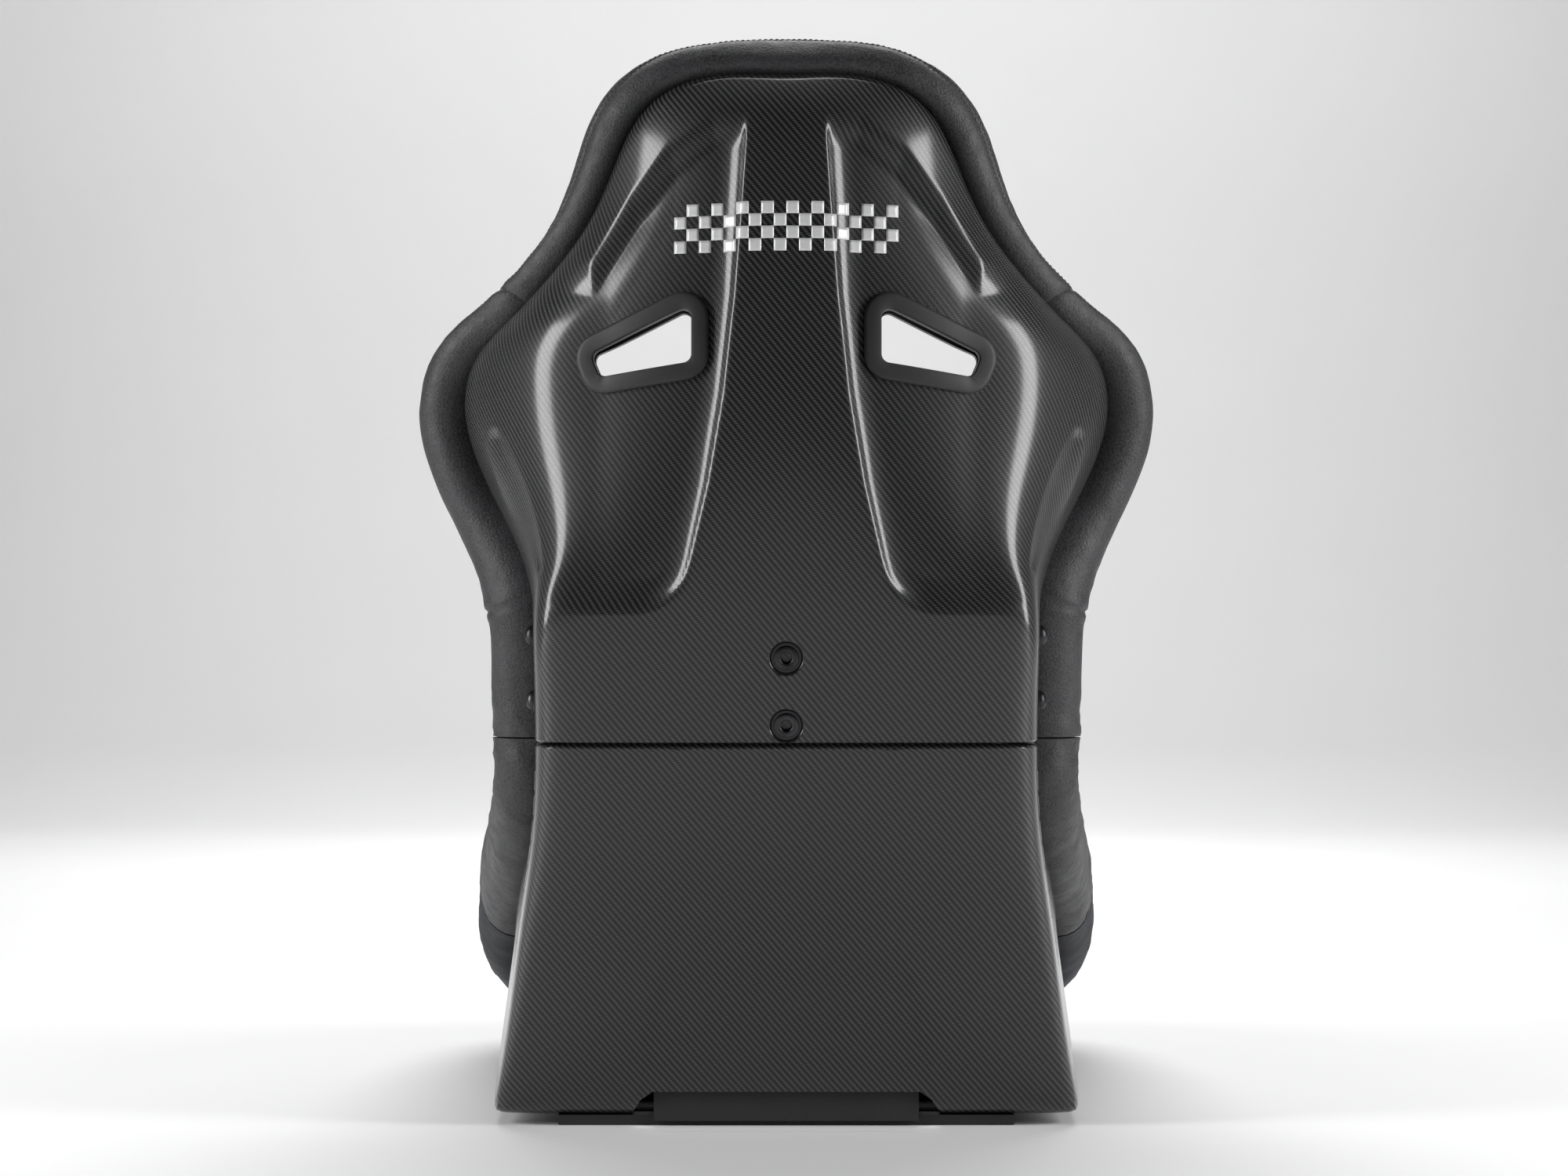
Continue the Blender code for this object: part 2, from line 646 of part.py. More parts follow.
def edge_roll(distance):
    """Share of a pad's thickness at a distance from its border."""
    s = np.clip(distance / PAD_EDGE_R, 0.0, 1.0)
    return 1.0 - PAD_EDGE_DROP * (1.0 - np.sqrt(1.0 - (1.0 - s) ** 2))


def eased(count, both):
    """Shares from 0 to 1, closer together near the borders."""
    s = np.linspace(0.0, 1.0, count)
    return 0.5 - 0.5 * np.cos(math.pi * s) if both else np.sin(0.5 * math.pi * s)


def pad(name, look, v_range, u_range, thickness, clearance, push=None, size=(8, 7)):
    """Closed pad on the inside of the shell over a patch of its surface.

    u_range(v) gives the shares of the row that it covers; a pad that starts at the centre is half
    of a mirrored pair.  It grows along the surface normal, or along push where that is given.
    """
    rows, columns = size
    central = u_range(v_range[0])[0] == 0.0
    v_values = v_range[0] + (v_range[1] - v_range[0]) * eased(rows, True)
    lower = np.zeros((rows, columns, 3))
    grow = np.zeros((rows, columns, 3))
    for r, v in enumerate(v_values):
        low, high = u_range(v)
        u = low + (high - low) * eased(columns, not central)
        lower[r], normal = shell_row(v, u, SHELL_T + clearance)
        grow[r] = -normal if push is None else np.array(push)
    share = np.ones((rows, columns))
    borders = [lower[:, -1:]]
    if not central:
        borders.append(lower[:, :1])
    if v_range[0] > 0.0:
        borders.append(lower[:1])
    if v_range[1] < 1.0:
        borders.append(lower[-1:])
    for border in borders:
        share = share * edge_roll(np.linalg.norm(lower - border, axis=2))
    if central:
        grow[:, 0, 0] = 0.0
    upper = lower + grow * (thickness * share)[:, :, None]
    for v, r in ((v_range[0], 0), (v_range[1], rows - 1)):
        if v in (0.0, 1.0):
            upper[r, :, 0] = 0.0
    points = np.concatenate([lower.reshape(-1, 3), upper.reshape(-1, 3)])
    offset = rows * columns
    bottom = grid_faces(rows, columns)
    faces = bottom + [tuple(offset + i for i in face) for face in bottom]
    sides = [[r * columns + columns - 1 for r in range(rows)]]
    if not central:
        sides.append([r * columns for r in range(rows)])
    if v_range[0] > 0.0:
        sides.append(list(range(columns)))
    if v_range[1] < 1.0:
        sides.append([(rows - 1) * columns + c for c in range(columns)])
    for side in sides:
        faces += [(a, b, offset + b, offset + a) for a, b in zip(side, side[1:])]
    mesh = mesh_from(name, points, faces)
    form = bmesh.new()
    form.from_mesh(mesh)
    bmesh.ops.recalc_face_normals(form, faces=form.faces)
    form.to_mesh(mesh)
    form.free()
    item = add_object(name, mesh, look)
    if central:
        mirror_half(item)
    mesh.shade_smooth()
    return item


def x_share(v, x):
    """Share of the row at which it reaches the half width x."""
    u = np.linspace(0.0, 1.0, 60)
    return float(np.interp(x, np.maximum.accumulate(base_row(v, u)[:, 0]), u))


def centre_share(v):
    """Half width of the centre pads of the back as a share of the row."""
    z = STATION_AT(v)[2]
    half = float(np.interp(z, [p[0] for p in PAD_BORDER], [p[1] for p in PAD_BORDER]))
    return min(x_share(v, half), rim_border(v, CENTRE_BORDER))


def corner_share(v):
    """Share of the row at its corner between floor or rear wall and side wall."""
    row = STATION_AT(v)
    first = np.linalg.norm(row[3:6] - row[0:3])
    return float(first / (first + np.linalg.norm(row[6:9] - row[3:6])))


def rows_between(heights):
    return tuple(v_at_height(z) for z in heights)


def stations_between(indices):
    return tuple(v_of_station(i) for i in indices)


def make_back_pads():
    def side(v):
        return centre_share(v) + SIDE_PAD_GAP / row_length(v), rim_border(v)

    def centre(v):
        return 0.0, centre_share(v)

    lumbar = pad("lumbar_pad", suede(), rows_between(LUMBAR_Z), centre, LUMBAR_T, DEEP_PAD_GAP)
    back = pad("upper_back_pad", suede(), rows_between(UPPER_Z), centre, UPPER_T, DEEP_PAD_GAP,
               size=(9, 9))
    pad("head_pad", suede(), (v_at_height(HEAD_Z), 1.0), lambda v: (0.0, rim_border(v)), HEAD_T,
        DEEP_PAD_GAP, size=(9, 7))
    left = pad("side_bolster_left", leather(), rows_between(SIDE_Z), side, SIDE_T, DEEP_PAD_GAP,
               size=(11, 7))
    right = mirrored_copy(left, "side_bolster_right")
    return lumbar, back, {"left": left, "right": right}


def make_base_pads():
    def floor(v):
        return 0.0, min(x_share(v, FLOOR_PAD_X), rim_border(v, roll_size(v)[3] + FLOOR_BORDER))

    def wall(v):
        return corner_share(v) + HIP_FROM_CORNER / row_length(v), rim_border(v)

    cushion = pad("seat_cushion", suede(), stations_between(SEAT_ROWS), floor, SEAT_T, PAD_GAP, UP,
                  (9, 7))
    pad("thigh_cushion", suede(), stations_between(THIGH_ROWS), floor, THIGH_T, PAD_GAP, UP)
    pad("tail_pad", suede(), stations_between(TAIL_ROWS), lambda v: (0.0, x_share(v, TAIL_X)),
        TAIL_T, PAD_GAP)
    hip = pad("hip_bolster_left", leather(), stations_between(HIP_ROWS), wall, HIP_T, PAD_GAP,
              size=(10, 5))
    mirrored_copy(hip, "hip_bolster_right")
    return cushion


# ---- harness slots --------------------------------------------------------------------------------------
def rounded_loop(corners, radius, outset, between=0, steps=3):
    """Rounded polygon through its corners, moved outward by outset; corners run clockwise.

    Each straight side has the given number of points between its ends.
    """
    loop = []
    count = len(corners)
    for i, corner in enumerate(corners):
        corner = np.array(corner)
        before = np.array(corners[i - 1]) - corner
        after = np.array(corners[(i + 1) % count]) - corner
        before = before / np.linalg.norm(before)
        after = after / np.linalg.norm(after)
        bisector = (before + after) / np.linalg.norm(before + after)
        half = 0.5 * math.acos(float(np.clip(np.dot(before, after), -1, 1)))
        centre = corner + bisector * radius / math.sin(half)
        middle = math.atan2(-bisector[1], -bisector[0])
        spread = 0.5 * math.pi - half
        for a in np.linspace(middle + spread, middle - spread, steps):
            loop.append(centre + (radius + outset) * np.array([math.cos(a), math.sin(a)]))
    if not between:
        return loop
    filled = []
    for i, point in enumerate(loop):
        filled.append(point)
        if i % steps == steps - 1:
            target = loop[(i + 1) % len(loop)]
            filled += [point + (target - point) * k / (between + 1) for k in range(1, between + 1)]
    return filled


def surface_tree(item):
    graph = bpy.context.evaluated_depsgraph_get()
    return BVHTree.FromObject(item, graph)


def hit_y(tree, x, z, front):
    """Y of the surface at (x, z), met from the front or from behind."""
    side = -1.0 if front else 1.0
    found = tree.ray_cast(Vector((x, side, z)), Vector((0.0, -side, 0.0)))[0]
    return found.y


def ring_solid(name, sections, look):
    """Closed ring through cross sections that follow one another round an opening."""
    points = [p for section in sections for p in section]
    count = len(sections[0])
    total = len(sections)
    faces = []
    for i in range(total):
        j = (i + 1) % total
        for c in range(count):
            d = (c + 1) % count
            faces.append((i * count + c, i * count + d, j * count + d, j * count + c))
    mesh = mesh_from(name, points, faces)
    form = bmesh.new()
    form.from_mesh(mesh)
    bmesh.ops.recalc_face_normals(form, faces=form.faces)
    form.to_mesh(mesh)
    form.free()
    return add_object(name, mesh, look, 40)


def slot_frame(name, tree, front):
    """Bezel on the surface round a slot, with a sleeve that reaches into it."""
    out = -1.0 if front else 1.0
    depth = FRONT_SLEEVE if front else REAR_SLEEVE
    inner = rounded_loop(SLOT_CORNERS, SLOT_RADIUS, 0.0, SLOT_BETWEEN)
    sleeve = rounded_loop(SLOT_CORNERS, SLOT_RADIUS, SLEEVE_T, SLOT_BETWEEN)
    outer = rounded_loop(SLOT_CORNERS, SLOT_RADIUS, SLOT_BEZEL, SLOT_BETWEEN)
    sections = []
    for a, b, c in zip(inner, sleeve, outer):
        y_in = hit_y(tree, *b, front)
        y_out = hit_y(tree, *c, front)
        clear = 2 * FLANGE_CLEAR if front else FLANGE_CLEAR
        seat_in = y_in + out * clear
        seat_out = y_out + out * clear
        top = out * FLANGE_T
        sections.append([(c[0], seat_out, c[1]), (c[0], seat_out + top, c[1]),
                         (a[0], seat_in + top, a[1]), (a[0], seat_in - out * depth, a[1]),
                         (b[0], seat_in - out * depth, b[1]), (b[0], seat_in, b[1])])
    return ring_solid(name, sections, black_plastic())


def prism(name, rings):
    """Closed solid between two equal rings of points."""
    form = bmesh.new()
    ends = [[form.verts.new(p) for p in ring] for ring in rings]
    form.faces.new(ends[0])
    form.faces.new(ends[1])
    for i in range(len(ends[0])):
        j = (i + 1) % len(ends[0])
        form.faces.new((ends[0][i], ends[0][j], ends[1][j], ends[1][i]))
    bmesh.ops.recalc_face_normals(form, faces=form.faces)
    mesh = bpy.data.meshes.new(name)
    form.to_mesh(mesh)
    form.free()
    return add_object(name, mesh, None)


def slot_cutter():
    """Prism along Y, a little larger than the sleeve."""
    loop = rounded_loop(SLOT_CORNERS, SLOT_RADIUS, SLEEVE_T + SLEEVE_CLEAR)
    rings = [[(x, y, z) for x, z in loop] for y in SLOT_CUT_Y]
    return make_cutter(prism("slot_cutter_left", rings))


def make_slots():
    """Slots through the back shell and the upper back pad, with a bezel on each face."""
    shell_tree = surface_tree(BACK)
    pad_tree = surface_tree(UPPER)
    left = slot_cutter()
    right = make_cutter(mirrored_copy(left, "slot_cutter_right"))
    for name, tree, front in (("harness_bezel", shell_tree, False), ("harness_trim", pad_tree, True)):
        made = slot_frame(name + "_left", tree, front)
        mirrored_copy(made, name + "_right")
    for item in (BACK, UPPER):
        cut(item, left)
        cut(item, right)


# ---- fasteners and guides -------------------------------------------------------------------------------
def disc(radius_out, radius_in, low, high):
    """Outline of a flat ring for turned()."""
    return [(radius_in, high), (radius_out, high), (radius_out, low), (radius_in, low)]


def hex_nut(name, matrix, top, radius):
    """Hexagonal nut with a plain bore, on the inner side of a guide plate."""
    form = bmesh.new()
    bmesh.ops.create_cone(form, cap_ends=True, segments=6, radius1=radius / math.cos(math.pi / 6),
                          radius2=radius / math.cos(math.pi / 6), depth=NUT_T)
    mesh = bpy.data.meshes.new(name)
    form.to_mesh(mesh)
    form.free()
    item = add_object(name, mesh, zinc_steel())
    item.matrix_world = matrix @ Matrix.Translation((0.0, 0.0, top - 0.5 * NUT_T))
    bore = cylinder_cutter(name + "_bore", BOLT_R + HOLE_CLEAR, 4 * NUT_T, item.matrix_world)
    cut(item, bore)
    return item


def cylinder_cutter(name, radius, depth, matrix, sides=16):
    form = bmesh.new()
    bmesh.ops.create_cone(form, cap_ends=True, segments=sides, radius1=radius, radius2=radius,
                          depth=depth)
    mesh = bpy.data.meshes.new(name)
    form.to_mesh(mesh)
    form.free()
    item = make_cutter(add_object(name, mesh, None))
    item.matrix_world = matrix
    return item


def box_in_frame(name, matrix, low, high, look=None):
    item = add_object(name, box_mesh(name, low, high), look)
    item.matrix_world = matrix
    return item


def slot_in_frame(name, matrix, half_width, low, high):
    """Cutter with round ends for a slot along the local Y axis."""
    outline = []
    for centre, start in ((high, 0.0), (low, math.pi)):
        for a in np.linspace(start, start + math.pi, 9):
            outline.append((half_width * math.cos(a), centre + half_width * math.sin(a)))
    item = make_cutter(prism(name, [[(x, y, z) for x, y in outline] for z in (-CUT_REACH, CUT_REACH)]))
    item.matrix_world = matrix
    return item


def make_guide(name, matrix, hole_r):
    """Slotted steel plate on the inner side of the lip, and the notch in the lip behind it."""
    half = 0.5 * PITCH
    top = -STACK - PLATE_GAP
    low = -half - PLATE_END
    high = half + TRAVEL + PLATE_END
    plate = box_in_frame(name, matrix, (-0.5 * PLATE_W, low, top - PLATE_T),
                         (0.5 * PLATE_W, high, top), zinc_steel())
    cut(plate, slot_in_frame(name + "_slot", matrix, hole_r + HOLE_CLEAR, -half, half + TRAVEL))
    notch = slot_in_frame(name + "_notch", matrix, hole_r + NOTCH_CLEAR, -half, half + 2 * TRAVEL)
    cut(BASE, notch)
    return plate


def side_frame(tree, side):
    """Frame at the middle of a pair of side bolts: Z outward, Y along the slide."""
    found = tree.ray_cast(Vector((1.0, SIDE_BOLT_Y, SIDE_BOLT_MID_Z)), Vector((-1.0, 0.0, 0.0)))
    slide = Vector(SLIDE)
    point = found[0]
    normal = found[1] - slide * found[1].dot(slide)
    point.x *= side
    normal.x *= side
    return frame_matrix(point, normal, SLIDE)


def make_side_hardware(tree, side, label):
    middle = side_frame(tree, side)
    nut_top = -STACK - PLATE_GAP - PLATE_T - GAP
    pocket = make_cutter(box_in_frame("pocket_" + label, middle, (-HOUSING, HOUSING_Y[0], -HOUSING_Z),
                                      (HOUSING, HOUSING_Y[1], -STACK)))
    cut(BOLSTERS[label], pocket)
    make_guide("guide_plate_" + label, middle, BOLT_R)
    for place, level in (("upper", 0.5 * PITCH), ("lower", -0.5 * PITCH)):
        at = middle @ Matrix.Translation((0.0, level, 0.0))
        tag = f"{label}_{place}"
        head = WASHER_GAP + WASHER_T + GAP
        profile = [(0.0, head + BOLT_HEAD_T), (0.45 * BOLT_HEAD_R, head + 0.92 * BOLT_HEAD_T),
                   (0.80 * BOLT_HEAD_R, head + 0.66 * BOLT_HEAD_T),
                   (BOLT_HEAD_R, head + 0.25 * BOLT_HEAD_T), (BOLT_HEAD_R, head), (BOLT_R, head),
                   (BOLT_R, nut_top - NUT_T - SHANK_OUT), (0.0, nut_top - NUT_T - SHANK_OUT)]
        turned("side_bolt_" + tag, profile, dark_steel(), at)
        washer = disc(WASHER_R, BOLT_R + HOLE_CLEAR, WASHER_GAP, WASHER_GAP + WASHER_T)
        turned("side_washer_" + tag, washer, dark_steel(), at)
        hex_nut("side_nut_" + tag, at, nut_top, NUT_R)
        cut(BACK, cylinder_cutter("bolt_hole_" + tag, BOLT_R + HOLE_CLEAR, CUT_REACH, at))


def make_centre_hardware(tree):
    y = hit_y(tree, 0.0, BUSH_MID_Z, False)
    normal = np.array([0.0, math.cos(RECLINE), -math.sin(RECLINE)])
    middle = frame_matrix((0.0, y, BUSH_MID_Z), normal, SLIDE)
    nut_top = -STACK - PLATE_GAP - PLATE_T - GAP
    pocket = make_cutter(box_in_frame("pocket_centre", middle, (-HOUSING, HOUSING_Y[0], -HOUSING_Z),
                                      (HOUSING, HOUSING_Y[1], -STACK)))
    cut(LUMBAR, pocket)
    make_guide("guide_plate_centre", middle, BUSH_BARREL_R)
    for place, level in (("upper", 0.5 * PITCH), ("lower", -0.5 * PITCH)):
        at = middle @ Matrix.Translation((0.0, level, 0.0))
        top = -BUSH_RECESS + GAP + BUSH_FLANGE_T
        end = nut_top - NUT_T - SHANK_OUT
        profile = [(BUSH_BORE_R, top), (BUSH_FLANGE_R, top), (BUSH_FLANGE_R, top - BUSH_FLANGE_T),
                   (BUSH_BARREL_R, top - BUSH_FLANGE_T), (BUSH_BARREL_R, end), (BUSH_BORE_R, end)]
        turned("bush_" + place, profile, dark_steel(), at, 20)
        turned("bush_nut_" + place,
               disc(BUSH_NUT_R, BUSH_BARREL_R + HOLE_CLEAR, nut_top - NUT_T, nut_top),
               zinc_steel(), at, 20)
        barrel = BUSH_BARREL_R + HOLE_CLEAR
        stepped = [(0.0, 0.5 * CUT_REACH), (BUSH_RECESS_R, 0.5 * CUT_REACH),
                   (BUSH_RECESS_R, -BUSH_RECESS), (barrel, -BUSH_RECESS),
                   (barrel, -0.5 * CUT_REACH), (0.0, -0.5 * CUT_REACH)]
        hole = turned("bush_hole_" + place, stepped, None, at, 20)
        cut(BACK, make_cutter(hole))


# ---- floor: pan, inserts and crotch strap slot ------------------------------------------------------------
def make_floor():
    """Under pan with its upstand in the cut-out, floor inserts and crotch strap slot."""
    pan = add_object("under_pan", box_mesh("under_pan", (-PAN_HALF_X, PAN_Y[0], 0.0),
                                           (PAN_HALF_X, PAN_Y[1], PAN_TOP)), black_plastic())
    half = CUT_HALF_X - 2 * GAP
    upstand = box_in_frame("pan_upstand", Matrix(), (-half, UPSTAND_Y[0], 0.5 * PAN_TOP),
                           (half, UPSTAND_Y[1], CUT_TOP_Z - 2 * GAP))
    join = pan.modifiers.new("upstand", 'BOOLEAN')
    join.operation = 'UNION'
    join.object = make_cutter(upstand)
    cut(BASE, make_cutter(box_in_frame("shell_cut_out", Matrix(), (-CUT_HALF_X, CUT_Y[0], -PAN_TOP),
                                       (CUT_HALF_X, CUT_Y[1], CUT_TOP_Z))))
    top = cushion_top()
    hole = flat_cutter("crotch_cutter", SLEEVE_T + SLEEVE_CLEAR, -PAN_TOP, 2 * top)
    for item in (BASE, CUSHION, pan):
        cut(item, hole)
    flat_ring("crotch_trim_top", top + GAP, top + GAP + CROTCH_TRIM_T, top + GAP - CROTCH_SLEEVE)
    flat_ring("crotch_trim_bottom", CROTCH_TRIM_T, TRIM_RECESS, CROTCH_TRIM_T + CROTCH_SLEEVE)
    cut(pan, flat_cutter("crotch_recess", CROTCH_FRAME + GAP, -PAN_TOP, CROTCH_TRIM_T + GAP))
    for label, sx in (("left", 1), ("right", -1)):
        for place, sy in (("front", -1), ("rear", 1)):
            at = Matrix.Translation((sx * INSERT_XY[0], INSERT_MID_Y + sy * INSERT_XY[1], 0.0))
            profile = [(INSERT_BORE_R, INSERT_TOP), (INSERT_R, INSERT_TOP), (INSERT_R, 0.0),
                       (INSERT_BORE_R, 0.0)]
            turned(f"floor_insert_{label}_{place}", profile, zinc_steel(), at, 20)
            cut(pan, cylinder_cutter(f"insert_hole_{label}_{place}", INSERT_R + GAP, CUT_REACH, at, 20))


def crotch_corners():
    """Corners of the crotch strap slot, clockwise from the rear right."""
    x, y = 0.5 * CROTCH_SIZE[0], 0.5 * CROTCH_SIZE[1]
    return (-x, CROTCH_Y + y), (x, CROTCH_Y + y), (x, CROTCH_Y - y), (-x, CROTCH_Y - y)


def flat_cutter(name, outset, low, high):
    """Upright prism round the crotch strap slot, wider than it by outset on every side."""
    loop = rounded_loop(crotch_corners(), SLOT_RADIUS, outset)
    return make_cutter(prism(name, [[(x, y, z) for x, y in loop] for z in (low, high)]))


def cushion_top():
    """Highest point of the seat cushion round the crotch strap slot."""
    tree = surface_tree(CUSHION)
    reach_x = 0.5 * CROTCH_SIZE[0] + CROTCH_FRAME
    reach_y = 0.5 * CROTCH_SIZE[1] + CROTCH_FRAME
    return max(tree.ray_cast(Vector((x, CROTCH_Y + y, 1.0)), Vector((0.0, 0.0, -1.0)))[0].z
               for x in (GAP, reach_x) for y in (-reach_y, 0.0, reach_y))


def flat_ring(name, level, face, end):
    """Trim ring of the crotch strap slot: heights of its seat, its face and its sleeve's end."""
    inner, sleeve, outer = [rounded_loop(crotch_corners(), SLOT_RADIUS, outset)
                            for outset in (0.0, SLEEVE_T, CROTCH_FRAME)]
    sections = [[(*c, level), (*c, face), (*a, face), (*a, end), (*b, end), (*b, level)]
                for a, b, c in zip(inner, sleeve, outer)]
    return ring_solid(name, sections, black_plastic())


# ---- slide of the back ----------------------------------------------------------------------------------
def parent_back_to_slide():
    """Empty on the slide that carries the back: moved along its own Z, it raises the back."""
    bpy.context.view_layer.update()
    slide = bpy.data.objects.new("back_slide", None)
    slide.matrix_world = frame_matrix(base_row(STATION_V[PARTING], [0.0])[0], SLIDE, (1.0, 0.0, 0.0))
    slide.empty_display_size = TRAVEL
    SEAT.objects.link(slide)
    for item in SEAT.objects:
        if item.name.startswith(BACK_PIECES):
            item.parent = slide
            item.matrix_parent_inverse = slide.matrix_world.inverted()


# ---- main ---------------------------------------------------------------------------------------------
clear_scene()
SEAT = make_collection("racing_seat")
CUTTERS = make_collection("cutters")
BACK = make_back_shell()
BASE = make_base_shell()
make_rims()
LUMBAR, UPPER, BOLSTERS = make_back_pads()
CUSHION = make_base_pads()
bpy.context.view_layer.update()
BACK_TREE = surface_tree(BACK)
make_slots()
for SIDE, LABEL in ((1.0, "left"), (-1.0, "right")):
    make_side_hardware(BACK_TREE, SIDE, LABEL)
make_centre_hardware(BACK_TREE)
make_floor()
parent_back_to_slide()
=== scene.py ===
"""Looks of the racing seat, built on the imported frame.  Metres, +Z up, the seat faces -Y."""
import math

import bmesh
import bpy
import numpy as np
from mathutils import Matrix, Vector, noise
from mathutils.bvhtree import BVHTree


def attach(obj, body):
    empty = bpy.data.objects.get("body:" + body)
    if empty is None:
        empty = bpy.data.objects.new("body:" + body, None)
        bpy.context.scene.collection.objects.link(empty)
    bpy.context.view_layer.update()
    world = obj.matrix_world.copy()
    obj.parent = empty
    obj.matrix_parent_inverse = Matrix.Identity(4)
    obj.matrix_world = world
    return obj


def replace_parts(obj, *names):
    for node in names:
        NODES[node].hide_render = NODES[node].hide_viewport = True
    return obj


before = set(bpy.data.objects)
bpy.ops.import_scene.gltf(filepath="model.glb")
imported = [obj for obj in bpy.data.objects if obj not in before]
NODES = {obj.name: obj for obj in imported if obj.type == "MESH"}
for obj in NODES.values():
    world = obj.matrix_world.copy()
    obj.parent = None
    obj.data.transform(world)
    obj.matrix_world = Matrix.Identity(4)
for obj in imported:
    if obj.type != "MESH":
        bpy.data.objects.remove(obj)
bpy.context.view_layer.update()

# ---- the moulded surface, with the same stations as the solids -------------------------------------
SHELL_T = 0.0035
LAP_GAP = 0.0016
RECLINE = math.radians(12.0)
SLIDE = np.array([0.0, math.sin(RECLINE), math.cos(RECLINE)])
PART_Z = 0.3185
PART_GAP = 0.0030
LIP_TOP_Z = 0.411
BASE_X = 0.207
EDGE_X = 0.2125
STATIONS = (
    ((-0.250, 0.0140), (0.000, -0.2970, 0.0160), 3.0, (0.000, -0.304, 0.086)),
    ((-0.243, 0.0130), (0.120, -0.2840, 0.0150), 3.5, (0.130, -0.300, 0.088)),
    ((-0.225, 0.0110), (0.205, -0.2520, 0.0120), 6.0, (0.222, -0.281, 0.097)),
    ((-0.195, 0.0092), (0.240, -0.2040, 0.0092), 12.0, (0.255, -0.240, 0.122)),
    ((-0.140, 0.0088), (0.250, -0.1400, 0.0088), 22.0, (0.2570, -0.184, 0.160)),
    ((-0.050, 0.0088), (0.252, -0.0500, 0.0088), 28.0, (0.2490, -0.115, 0.203)),
    ((0.050, 0.0088), (0.252, 0.0500, 0.0088), 30.0, (0.2375, -0.045, 0.234)),
    ((0.140, 0.0088), (0.2495, 0.1400, 0.0088), 30.0, (0.2275, 0.012, 0.251)),
    ((0.182, 0.0088), (0.2475, 0.1820, 0.0088), 34.0, (0.2240, 0.031, 0.257)),
    ((0.205, 0.0100), (0.2450, 0.2050, 0.0100), 40.0, (0.2210, 0.047, 0.262)),
    ((0.2195, 0.0320), (0.2400, 0.2195, 0.0320), 26.0, (0.2185, 0.064, 0.2695)),
    ((0.2395, 0.1350), (0.2250, 0.2395, 0.1350), 13.0, (0.2160, 0.084, 0.279)),
    ((0.2640, 0.2350), (0.2110, 0.2640, 0.2350), 9.0, (0.2132, 0.0978, 0.2915)),
    ((0.2835, 0.3200), (BASE_X, 0.2835, 0.3200), 7.5, (EDGE_X, 0.1050, 0.3200)),
    ((0.2941, 0.3700), (BASE_X, 0.2941, 0.3700), 7.5, (EDGE_X, 0.1156, 0.3700)),
    ((0.3058, 0.4250), (BASE_X, 0.3058, 0.4250), 7.0, (EDGE_X + 0.001, 0.1273, 0.4250)),
    ((0.3140, 0.4690), (0.204, 0.3140, 0.4690), 3.2, (0.2290, 0.1260, 0.4690)),
    ((0.3210, 0.5120), (0.203, 0.3210, 0.5120), 1.9, (0.2530, 0.1200, 0.5120)),
    ((0.3270, 0.5600), (0.205, 0.3270, 0.5600), 1.35, (0.2775, 0.1220, 0.5600)),
    ((0.3300, 0.6000), (0.207, 0.3300, 0.6000), 1.15, (0.2855, 0.1310, 0.6020)),
    ((0.3310, 0.6350), (0.203, 0.3310, 0.6400), 1.10, (0.2725, 0.1500, 0.6430)),
    ((0.3310, 0.6620), (0.190, 0.3305, 0.6750), 1.05, (0.2420, 0.1720, 0.6710)),
    ((0.3300, 0.6900), (0.168, 0.3290, 0.7080), 1.00, (0.2130, 0.1920, 0.6980)),
    ((0.3280, 0.7200), (0.140, 0.3260, 0.7400), 1.00, (0.1870, 0.2100, 0.7290)),
    ((0.3255, 0.7450), (0.120, 0.3225, 0.7640), 1.00, (0.1690, 0.2240, 0.7600)),
    ((0.3230, 0.7660), (0.106, 0.3190, 0.7870), 1.00, (0.1550, 0.2370, 0.7940)),
    ((0.3205, 0.7830), (0.093, 0.3150, 0.8110), 1.00, (0.1420, 0.2470, 0.8250)),
    ((0.3180, 0.7980), (0.072, 0.3110, 0.8340), 1.00, (0.1170, 0.2570, 0.8550)),
    ((0.3160, 0.8070), (0.046, 0.3080, 0.8460), 1.00, (0.0790, 0.2640, 0.8725)),
    ((0.3150, 0.8110), (0.000, 0.3060, 0.8520), 1.00, (0.0000, 0.2680, 0.8775)),
)
PARTING = 13
SPINE_Z = (0.40, 0.440, 0.470, 0.530, 0.600, 0.680, 0.750, 0.840)
SPINE_X = (0.092, 0.083, 0.074, 0.060, 0.048, 0.039, 0.034, 0.028)    # half width of the raised spine
CORNER_R = 0.034             # lower inner corner of a pocket
POCKET_FOOT_Z = 0.4275
POCKET_DEPTH = 0.0112
POCKET_FLANK = 0.028         # width over which a pocket falls away from the spine
FLUTE = ((0.2430, 0.572), (0.2010, 0.462))
FLUTE_HALF = 0.0125
FLUTE_DEPTH = 0.0050
PANEL_X, PANEL_Z = 0.131, 0.016         # foot of the recessed panel's side
PANEL_SLOPE = -0.032 / 0.121
PANEL_DEPTH = 0.0018
POCKET_TOP = ((0.0, 0.836), (0.060, 0.830), (0.095, 0.806), (0.125, 0.770), (0.160, 0.716))
BACK_RIM = ((0.323, 0.044, 0.022, 0.040, 0.028), (0.440, 0.044, 0.026, 0.042, 0.034),
            (0.520, 0.028, 0.027, 0.032, 0.034), (0.600, 0.022, 0.028, 0.028, 0.034),
            (0.680, 0.020, 0.0245, 0.020, 0.028), (0.760, 0.019, 0.025, 0.015, 0.024),
            (0.880, 0.019, 0.023, 0.012, 0.022))
BASE_RIM = ((0, 0.052, 0.026, 0.028, 0.026), (3, 0.070, 0.026, 0.038, 0.028),
            (6, 0.070, 0.026, 0.034, 0.030), (10, 0.050, 0.024, 0.038, 0.028),
            (13, 0.044, 0.022, 0.040, 0.028))
